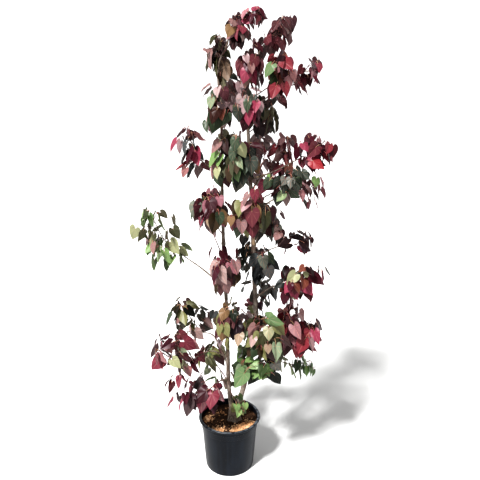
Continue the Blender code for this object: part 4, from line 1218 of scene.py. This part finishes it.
plants = {}
for number, mass in enumerate(MASSES):
    walls = tree_of(limb_solids + [plant["solid"] for plant in plants.values()])
    points, radii = mass_stem_line(mass, walls, Random(SEED * 1000 + number))
    plants[mass] = {"stem": points, "solid": tube(points, radii, 3), "leaves": [], "trees": [], "middles": []}
limb_tree = tree_of(limb_solids)
standing = {}
for number, mass in enumerate(MASSES):
    rng = Random(SEED * 2000 + number)
    plant = plants[mass]
    walls = tree_of(limb_solids + [p["solid"] for name, p in plants.items() if name != mass]
                    + [solid for solids in standing.values() for solid in solids])
    inside = [point for point in plant["stem"] if in_own_space(point, mass)]
    if len(inside) < 2:
        inside = plant["stem"][-2:]
    plant["lines"] = [inside]
    twigs = []
    for line in twig_lines(mass, inside, rng):
        probe = tube([line[0].lerp(line[1], 0.1), line[1]], [r + SPARE for r in TWIG_RADII], 3)
        if has_room(limb_tree, walls, line[0], ROOT_ROOM) and not walls.overlap(tree_of([probe])):
            twigs.append(tube(line, TWIG_RADII, 3))
            plant["lines"].append(line)
    plant["places"] = [place for place in leaf_places(plant["lines"])
                       if has_room(limb_tree, walls, place[0], ROOT_ROOM)]
    sizes = [MASSES[mass][3] * LEAF_SHRINK ** turn for turn in range(LEAF_ROUNDS)]
    spread_leaves(mass, plant["places"], MASSES[mass][2], sizes, plant, walls, rng)
    standing[mass] = twigs + [leaf_solid(*pose) for pose, _ in plant["leaves"]]
for number, mass in enumerate(MASSES):
    rng = Random(SEED * 3000 + number)
    plant = plants[mass]
    walls = tree_of(limb_solids + [p["solid"] for name, p in plants.items() if name != mass]
                    + [solid for name, solids in standing.items() if name != mass for solid in solids])
    full = len(plant["leaves"])
    plant["shoots"] = side_shoots(mass, plant, limb_tree, walls, rng)
    first = len(plant["lines"])
    places = plant["places"] + [(*place[:3], place[3] + first) for place in leaf_places(plant["shoots"])
                                if has_room(limb_tree, walls, place[0], ROOT_ROOM)]
    plant["lines"] += plant["shoots"]
    (small, large), share = (BUSH_SIZES, BUSH_SHARE) if "right_bush" in mass else (YOUNG_SIZES, YOUNG_SHARE)
    sizes = [MASSES[mass][3] * size for size in (large, 0.5 * (small + large), small)]
    spread_leaves(mass, places, round(MASSES[mass][2] * share), sizes, plant, walls, rng, young=True)
    standing[mass] += [tube(line, SHOOT_RADII, 3) for line in plant["shoots"]]
    standing[mass] += [leaf_solid(*pose, width=YOUNG_WIDTH) for pose, _ in plant["leaves"][full:]]


# ---- twigs and leaf stalks ---------------------------------------------------------------------------------
# The masses' own stems and their twigs are this year's wood, brown to purplish and a little zigzag.  A leaf
# hangs from them by a thin smooth reddish stalk that springs up out of the twig and bends into the blade.
TWIG_BROWN = (0.075, 0.038, 0.030)
TWIG_PURPLE = (0.110, 0.040, 0.042)
STALK_RED = (0.330, 0.105, 0.095)
STALK_PALE = (0.420, 0.260, 0.150)
TWIG_WIDTHS = {"stem": (0.0023, 0.0016), "twig": (0.0013, 0.0007), "shoot": (0.0008, 0.0004)}
TWIG_ZIGZAG = 0.0019
SHOOT_ZIGZAG = 0.0008
TWIG_STEP = 0.016        # from bend to bend
SHOOT_STEPS = 4
STALK_WIDTHS = (0.0009, 0.0006)
STALK_RISE = 0.0045
STALK_SWAY = 0.002
BLADE_START = 0.040      # from a full leaf's root to its blade


def twig_finish(place):
    """Smooth young bark from brown to purple."""
    patches = clouds(place, 60.0, 3.0)
    return {"Base Color": mix_colours(patches.between(0.38, 0.62), TWIG_BROWN, TWIG_PURPLE),
            "Roughness": 0.55 + 0.25 * patches, "Normal": bump(clouds(place, 500.0, 2.0), 0.0004, 0.5)}


def stalk_finish(place):
    """Reddish stalks, some of them paler."""
    return {"Base Color": mix_colours(clouds(place, 22.0, 2.0).between(0.40, 0.60), STALK_RED, STALK_PALE)}


def rod_tree():
    """Round rods along the edges of a mesh, as wide at each point as its width says."""
    tree, start = tree_with("round_rods", ("Sides", "Int"), ("Finish", "Material"))
    width = attribute(start, "width")
    curves = start.node("GeometryNodeMeshToCurve", None, {"Mesh": start})
    curves = start.node("GeometryNodeSetCurveRadius", None, {"Curve": curves, "Radius": width})
    ring = start.node("GeometryNodeCurvePrimitiveCircle", None,
                      {"Resolution": given(start, "Sides"), "Radius": 1.0})
    rods = start.node("GeometryNodeCurveToMesh", None,
                      {"Curve": curves, "Profile Curve": ring, "Scale": width, "Fill Caps": True})
    smooth = start.node("GeometryNodeSetShadeSmooth", None, {"Geometry": rods})
    whole = start.node("GeometryNodeRealizeInstances", None, {"Geometry": smooth})
    end_tree(set_material(start, whole, "Finish"))
    return tree


def rods(name, lines, tree, sides, finish):
    """A mesh of round rods along lines of (point, radius)."""
    verts, edges, widths = [], [], []
    for line in lines:
        edges += [(len(verts) + i, len(verts) + i + 1) for i in range(len(line) - 1)]
        verts += [point for point, _ in line]
        widths += [width for _, width in line]
    mesh = bpy.data.meshes.new(name)
    mesh.from_pydata(verts, edges, [])
    mesh.attributes.new("width", "FLOAT", "POINT").data.foreach_set("value", widths)
    return grown(mesh, tree, sides=sides, finish=finish)


def nearest_on(line, point):
    """The point of a fine line nearest to a point."""
    spots = []
    for a, b in zip(line, line[1:]):
        share = (point - a).dot(b - a) / (b - a).length_squared
        spots.append(a + (b - a) * max(0.0, min(1.0, share)))
    return min(spots, key=lambda spot: (spot - point).length_squared)


rod = rod_tree()
twig_wood = finish_material("twig_wood", TWIG_BROWN, 0.6, twig_finish, 0.4)
stalk_skin = finish_material("leaf_stalk", STALK_RED, 0.45, stalk_finish, 0.4)
twig_paths, stalk_paths = [], []
for mass, plant in plants.items():
    rng = Random(sum(map(ord, mass)))
    main = smooth_curve(plant["stem"], 6)
    twig_paths.append(list(zip(main, tapered(len(main), TWIG_WIDTHS["stem"]))))
    fine = [main]
    for number, line in enumerate(plant["lines"][1:], 1):
        shoot = line in plant["shoots"]
        carrier = min(fine, key=lambda path: (nearest_on(path, line[0]) - line[0]).length)
        start = nearest_on(carrier, line[0])
        along = (line[1] - line[0]).normalized()
        side = along.orthogonal().normalized() * (SHOOT_ZIGZAG if shoot else TWIG_ZIGZAG)
        steps = SHOOT_STEPS if shoot else max(int((line[1] - line[0]).length / TWIG_STEP), 3)
        path = [line[0].lerp(line[1], i / steps) + side * (-1.0 if i % 2 else 1.0) for i in range(steps + 1)]
        path[0], path[-1] = start, line[1]
        fine.append(path)
        twig_paths.append(list(zip(path, tapered(len(path), TWIG_WIDTHS["shoot" if shoot else "twig"]))))
    for pose, number in plant["leaves"]:
        root, along, across, size = pose
        start = nearest_on(fine[number], root)
        end = root + along * BLADE_START * size
        rise = UP * STALK_RISE * size + along.cross(UP) * rng.uniform(-STALK_SWAY, STALK_SWAY)
        path = [start, start.lerp(end, 0.3) + rise, start.lerp(end, 0.68) + rise * 0.9, end + along * 0.002]
        stalk_paths.append(list(zip(smooth_curve(path, 2), tapered(7, STALK_WIDTHS))))
add_piece("twigs", rods("twigs", twig_paths, rod, 7, twig_wood), "bark")
add_piece("leaf_stalks", rods("leaf_stalks", stalk_paths, rod, 5, stalk_skin), "leaf_rose")


# ---- leaves ------------------------------------------------------------------------------------------------
# Heart-shaped blades with a drawn-out tip, thin and leathery, a little folded along the midrib, with pale
# veins that spread from the stalk.  They open deep red at the shoots' ends and turn green inside the crown,
# where the near-black greens are partly painted shade.  Each tint comes as a dark copy that paints shade, a
# middle copy, and a pale copy with painted sheen that paints light.
BLADE_LENGTH = 0.076     # of a full leaf, from the stalk to the tip
BLADE_DROOP = 0.45       # how far a blade hangs down from the way of its stalk
BLADE_TURN = 0.75        # and turns its upper side outwards, up and to the light
LIGHTWARD = Vector((-0.40, -0.80, 0.45))
BLADE_NARROW = 0.94
RAYS = (                 # turn from the tip and length against the midrib, down one side
    (0.0, 1.0), (12.0, 0.81), (32.0, 0.665), (57.0, 0.58), (83.0, 0.53), (108.0, 0.485), (131.0, 0.42),
    (152.0, 0.29))
VEIN_WIDTHS = {0: 0.0015, 2: 0.0011, 4: 0.0010}      # half widths of the veins, by ray, at the middle ring
MIDDLE_RING = 0.60
BLADE_THICKNESS = 0.0005
CREASE = math.radians(24.0)      # least angle between faces that reads as a fold
BLADE, UNDER, VEIN = range(3)    # zones of a leaf's faces
SHAPES = (               # fold at the midrib, curl of the margins, arch of the tip, droop of the lobes, wave
    (0.20, 0.50, 0.10, 0.05, 0.020), (0.35, 0.80, 0.16, 0.10, 0.032), (0.55, 0.50, 0.08, 0.02, 0.018),
    (-0.10, 0.20, 0.20, 0.12, 0.036), (0.25, 0.90, 0.30, 0.05, 0.046), (0.65, 0.80, 0.22, 0.08, 0.026),
    (0.05, 0.50, 0.05, 0.16, 0.040), (0.35, 0.10, -0.08, 0.05, 0.030),
)
PAINTED_LIGHT_COPIES = ((0.26, 0.0), (1.08, 0.05), (1.20, 0.26))       # tint strength and painted sheen share: the dark copy paints shade, the pale copy paints light
PAINTED_LIGHT_SHARES = (0.30, 0.50, 0.20)
PAINTED_SHEEN = (172, 168, 162)
LEAF_TINTS = {           # family: tints, as in a paint book
    "rose": {"rose": (124, 38, 64), "dusk_rose": (100, 48, 60), "pink": (126, 80, 90)},
    "maroon": {"maroon": (86, 18, 34), "deep_maroon": (64, 14, 24), "wine": (104, 24, 46)},
    "crimson": {"crimson": (110, 18, 36), "scarlet": (128, 20, 34), "rust": (104, 52, 38)},
    "mauve": {"mauve": (138, 114, 116), "mauve_brown": (124, 92, 90), "plum": (104, 74, 82),
              "purple": (66, 40, 54)},
    "olive": {"olive": (104, 104, 64), "amber": (110, 84, 54), "straw": (138, 140, 106)},
    "green": {"green": (102, 128, 76), "lime": (124, 148, 94), "moss": (84, 106, 68)},
    # Near black: partly the inner leaves' own deep green, partly painted shade inside the crown.
    "deep_green": {"black_green": (32, 42, 32), "slate": (48, 54, 56), "pine": (46, 62, 42)},
}
TINT_STRENGTH = 0.80     # of the paint-book colours under this light
PALEST = 0.8
SPRAYS = {               # tints of each mass and their shares
    "leader_tip": {"maroon": 40, "rose": 30, "wine": 30},
    "left_top": {"wine": 35, "mauve_brown": 20, "pink": 10, "deep_maroon": 25, "amber": 10},
    "left_shoulder": {"mauve": 30, "olive": 20, "amber": 15, "moss": 5, "straw": 15, "mauve_brown": 20},
    "left_upper": {"mauve": 40, "rose": 15, "dusk_rose": 10, "rust": 10, "moss": 10, "pine": 15},
    "right_leader": {"mauve": 15, "black_green": 10, "rose": 20, "maroon": 20, "rust": 10, "wine": 15,
                     "mauve_brown": 10},
    "right_top": {"pink": 20, "maroon": 35, "deep_maroon": 35, "wine": 10},
    "right_upper": {"crimson": 30, "wine": 20, "mauve": 10, "rust": 15, "maroon": 15, "moss": 10},
    "right_top_twig": {"pink": 25, "rose": 25, "maroon": 30, "wine": 20},
    "centre_upper": {"pine": 30, "black_green": 20, "straw": 10, "moss": 10, "rose": 15, "mauve": 15},
    "right_small": {"black_green": 25, "deep_maroon": 25, "olive": 15, "pine": 30},
    "left_middle": {"straw": 25, "moss": 20, "green": 15, "mauve_brown": 15, "pine": 20,
                    "deep_maroon": 15},
    "left_twig": {"crimson": 25, "maroon": 20, "mauve": 20, "rose": 15, "slate": 20},
    "centre_middle": {"straw": 12, "pine": 25, "black_green": 20, "wine": 15, "amber": 10, "mauve": 20,
                      "moss": 10},
    "right_crown_inner": {"crimson": 30, "rose": 20, "mauve_brown": 15, "rust": 10, "scarlet": 5,
                          "maroon": 20},
    "right_crown_outer": {"crimson": 40, "scarlet": 5, "rose": 20, "mauve": 10, "rust": 10, "maroon": 15},
    "right_middle": {"black_green": 40, "pine": 30, "green": 10, "deep_maroon": 20},
    "right_mid_outer": {"maroon": 30, "rose": 30, "wine": 25, "black_green": 5, "green": 10},
    "band_left": {"rose": 25, "mauve": 20, "wine": 20, "purple": 5, "pine": 10, "amber": 5, "pink": 10,
                  "moss": 5},
    "band_front": {"pine": 15, "slate": 5, "wine": 25, "maroon": 15, "amber": 10, "olive": 15,
                   "mauve": 15},
    "band_back": {"black_green": 40, "pine": 35, "deep_maroon": 25},
    "right_small_twig": {"deep_maroon": 35, "mauve_brown": 20, "rose": 20, "purple": 25},
    "centre_low": {"black_green": 50, "pine": 30, "slate": 20},
    "far_left": {"green": 25, "lime": 20, "olive": 15, "straw": 10, "pine": 5, "mauve": 15,
                 "mauve_brown": 10},
    "left_stem_mid": {"rose": 35, "wine": 15, "mauve_brown": 25, "amber": 15, "maroon": 10},
    "left_stem_low": {"olive": 25, "amber": 20, "deep_maroon": 15, "purple": 10, "slate": 10, "pine": 20},
    "left_low_upper": {"pine": 25, "mauve_brown": 25, "olive": 30, "black_green": 20},
    "left_low_outer": {"crimson": 25, "rose": 20, "wine": 20, "straw": 10, "moss": 10, "maroon": 15},
    "left_low_inner": {"olive": 20, "moss": 25, "straw": 15, "amber": 10, "green": 15, "maroon": 15},
    "left_bottom": {"rose": 35, "wine": 30, "mauve": 15, "dusk_rose": 20},
    "right_low_mid": {"black_green": 15, "rust": 15, "straw": 10, "maroon": 20, "rose": 25,
                      "deep_maroon": 15},
    "centre_low_in": {"black_green": 60, "pine": 20, "purple": 20},
    "right_bush_upper": {"wine": 35, "rose": 20, "dusk_rose": 20, "crimson": 25},
    "right_bush_inner": {"olive": 40, "amber": 20, "purple": 15, "mauve_brown": 10, "moss": 15},
    "right_bush_lower": {"green": 30, "moss": 30, "pine": 20, "black_green": 10, "olive": 10},
    "right_low_twig": {"green": 35, "lime": 20, "wine": 15, "moss": 30},
    "foot_leaves": {"lime": 50, "green": 30, "olive": 20},
    "back_upper": {"mauve": 40, "wine": 30, "pine": 30},
    "back_middle": {"crimson": 35, "mauve": 35, "pine": 30},
    "back_low": {"olive": 30, "moss": 25, "rose": 20, "mauve": 25},
    "left_back": {"mauve": 40, "pine": 30, "rose": 30},
}
OWN_SPRAY = 0.6          # share of a twig's leaves in the twig's own tint
UNDER_SHADE = (0.9, (150, 135, 130), 0.30)       # strength of the tint, and how much of a greyer one is in it
VEIN_TINT = (225, 180, 160)
VEIN_SHARE = 0.10
BLADE_ROUGHNESS = 0.42
UNDER_ROUGHNESS = 0.62
VEIN_ROUGHNESS = 0.45
LEAF_SPECULAR = 0.25


def leaf_mesh(name, fold, curl, arch, droop, wave):
    """A thin closed blade: a fan of rays from the stalk, with veins along some of them on its upper side."""
    verts, faces, zones = [], [], []

    def spot(turn, reach, level, beside=0.0):
        """Adds a vertex on a ray, or beside it, and gives its number."""
        angle = math.radians(turn)
        x = (reach * math.sin(angle) + beside * math.cos(angle)) * BLADE_NARROW
        y = reach * math.cos(angle) - beside * math.sin(angle)
        z = abs(x) * math.sin(fold) - curl * x * x - arch * y * abs(y) - droop * max(-y, 0.0)
        z += wave * math.sin(angle * 5.0) * min(reach * 2.0, 1.0)
        verts.append(Vector((x * math.cos(fold), y, z)) * BLADE_LENGTH + Vector((0.0, 0.0, level)))
        return len(verts) - 1

    half = [(turn, reach, i) for i, (turn, reach) in enumerate(RAYS)]
    rays = [(-turn, reach, i) for turn, reach, i in half[:0:-1]] + half
    stalk = spot(0.0, 0.0, 0.0)
    columns = []
    for turn, reach, kind in rays:
        tip = spot(turn, reach, 0.0)
        if kind == len(RAYS) - 1:
            middle = spot(turn, reach * MIDDLE_RING, 0.0)
            columns.append((tip, middle, middle, middle))
            continue
        under = spot(turn, reach * MIDDLE_RING, -0.5 * BLADE_THICKNESS)
        if kind in VEIN_WIDTHS:
            beside = VEIN_WIDTHS[kind] / BLADE_LENGTH
            left = spot(turn, reach * MIDDLE_RING, 0.5 * BLADE_THICKNESS, -beside)
            right = spot(turn, reach * MIDDLE_RING, 0.5 * BLADE_THICKNESS, beside)
            faces += [(stalk, right, left), (left, right, tip)]
            zones += [VEIN, VEIN]
        else:
            left = right = spot(turn, reach * MIDDLE_RING, 0.5 * BLADE_THICKNESS)
        columns.append((tip, left, right, under))
    for (tip, _, right, under), (tip_b, left_b, _, under_b) in zip(columns, columns[1:]):
        faces += [(stalk, left_b, right), (right, left_b, tip_b, tip)]
        faces += [(stalk, under, under_b), (under, tip, tip_b, under_b)]
        zones += [BLADE, BLADE, UNDER, UNDER]
    mesh = bpy.data.meshes.new(name)
    mesh.from_pydata(verts, [], faces)
    mesh.attributes.new("zone", "INT", "FACE").data.foreach_set("value", zones)
    mesh.shade_smooth()
    mesh.set_sharp_from_angle(angle=CREASE)
    return mesh


def leaf_tree():
    """Leaves on points: each takes its shape, turn and size from the point, and its finish by zone."""
    tree, start = tree_with("sprays_of_leaves", ("Shapes", "Collection"), ("Blade", "Material"),
                            ("Underside", "Material"), ("Vein", "Material"))
    shapes = shapes_of(start)
    hung = start.node("GeometryNodeInstanceOnPoints", None,
                      {"Points": start, "Instance": shapes, "Pick Instance": True,
                       "Instance Index": attribute(start, "shape", "INT"),
                       "Rotation": attribute(start, "turn", "QUATERNION"), "Scale": attribute(start, "size")})
    whole = start.node("GeometryNodeRealizeInstances", None, {"Geometry": hung})
    zone = attribute(start, "zone", "INT")
    equal = {"data_type": "INT", "operation": "EQUAL"}
    for number, label in ((BLADE, "Blade"), (UNDER, "Underside"), (VEIN, "Vein")):
        here = start.node("FunctionNodeCompare", equal, {"A": zone, "B": number})
        whole = set_material(start, whole, label, here)
    end_tree(whole)
    return tree


def paint(red, green, blue):
    """A paint-book colour as Blender mixes light."""
    return tuple(((c / 255.0 + 0.055) / 1.055) ** 2.4 for c in (red, green, blue))


def shaded(tint, strength=1.0, other=(0, 0, 0), share=0.0):
    """A paint-book colour, stronger or weaker, and some of another in it."""
    pairs = zip(paint(*tint), paint(*other))
    return tuple(min(TINT_STRENGTH * strength * (a + (b - a) * share), PALEST) for a, b in pairs)


leaf_shapes = shelf("leaf", [leaf_mesh(f"leaf_{i}", *bends) for i, bends in enumerate(SHAPES)])
hang_leaves = leaf_tree()
points_of = {tint: ([], [], []) for family in LEAF_TINTS.values() for tint in family}
for mass, plant in plants.items():
    rng = Random(7 * sum(map(ord, mass)) + 1)
    tints, shares = zip(*SPRAYS[mass].items())
    own = [rng.choices(tints, shares)[0] for _ in plant["lines"]]
    for (root, along, across, size), number in plant["leaves"]:
        tint = own[number] if rng.random() < OWN_SPRAY else rng.choices(tints, shares)[0]
        outward = root - on_stem(MASSES[mass][5], root.z)[0]
        outward = (outward.normalized() + 0.5 * UP + 0.8 * LIGHTWARD).normalized()
        face = across.cross(along)
        if face.dot(outward) <= -0.25:
            face = -face
        face = (face + outward * BLADE_TURN).normalized()
        down = (along - UP * BLADE_DROOP).normalized()
        across = down.cross(face).normalized()
        turn = Matrix((across, down, across.cross(down))).transposed().to_quaternion()
        # A leaf takes its tint's dark painted-shade copy, the middle copy or the pale painted-light copy.
        shade = rng.choices((0, 1, 2), PAINTED_LIGHT_SHARES)[0]
        leaf = (root + along * BLADE_START * size, turn, size, rng.randrange(len(SHAPES)))
        points_of[tint][shade].append(leaf)

for family, tints in LEAF_TINTS.items():
    whole = bmesh.new()
    mesh = bpy.data.meshes.new("leaves_" + family)
    for tint, colour in tints.items():
        under = finish_material("under_" + tint, shaded(colour, *UNDER_SHADE), UNDER_ROUGHNESS)
        for shade, ((strength, sheen), leaves) in enumerate(zip(PAINTED_LIGHT_COPIES, points_of[tint])):
            if not leaves:
                continue
            places, turns, sizes, picks = zip(*leaves)
            marks = bpy.data.meshes.new(tint)
            marks.from_pydata(places, [], [])
            parts = [part for turn in turns for part in turn]
            for label, kind, values in (("turn", "QUATERNION", parts), ("size", "FLOAT", sizes),
                                        ("shape", "INT", picks)):
                marks.attributes.new(label, kind, "POINT").data.foreach_set("value", values)
            # Blade and vein take the painted light level of their copy, with its share of painted sheen; the
            # vein is paler too.
            blade = finish_material(f"leaf_{tint}_{shade}", shaded(colour, strength, PAINTED_SHEEN, sheen),
                                    BLADE_ROUGHNESS, specular=LEAF_SPECULAR)
            vein_tint = shaded(colour, strength, VEIN_TINT, sheen + VEIN_SHARE)
            vein = finish_material(f"vein_{tint}_{shade}", vein_tint, VEIN_ROUGHNESS, specular=LEAF_SPECULAR)
            hung = grown(marks, hang_leaves, shapes=leaf_shapes, blade=blade, underside=under, vein=vein)
            first, shift = len(whole.faces), len(mesh.materials)
            for finish in hung.materials:
                mesh.materials.append(finish)
            whole.from_mesh(hung)
            whole.faces.ensure_lookup_table()
            for face in whole.faces[first:]:
                face.material_index += shift
    whole.to_mesh(mesh)
    whole.free()
    colour = "leaf_green" if family == "green" else family
    nodes = ["leaves_" + mass for mass, spec in MASSES.items() if spec[4] == colour]
    add_piece("leaves_" + family, mesh, "leaf_" + family, *nodes)
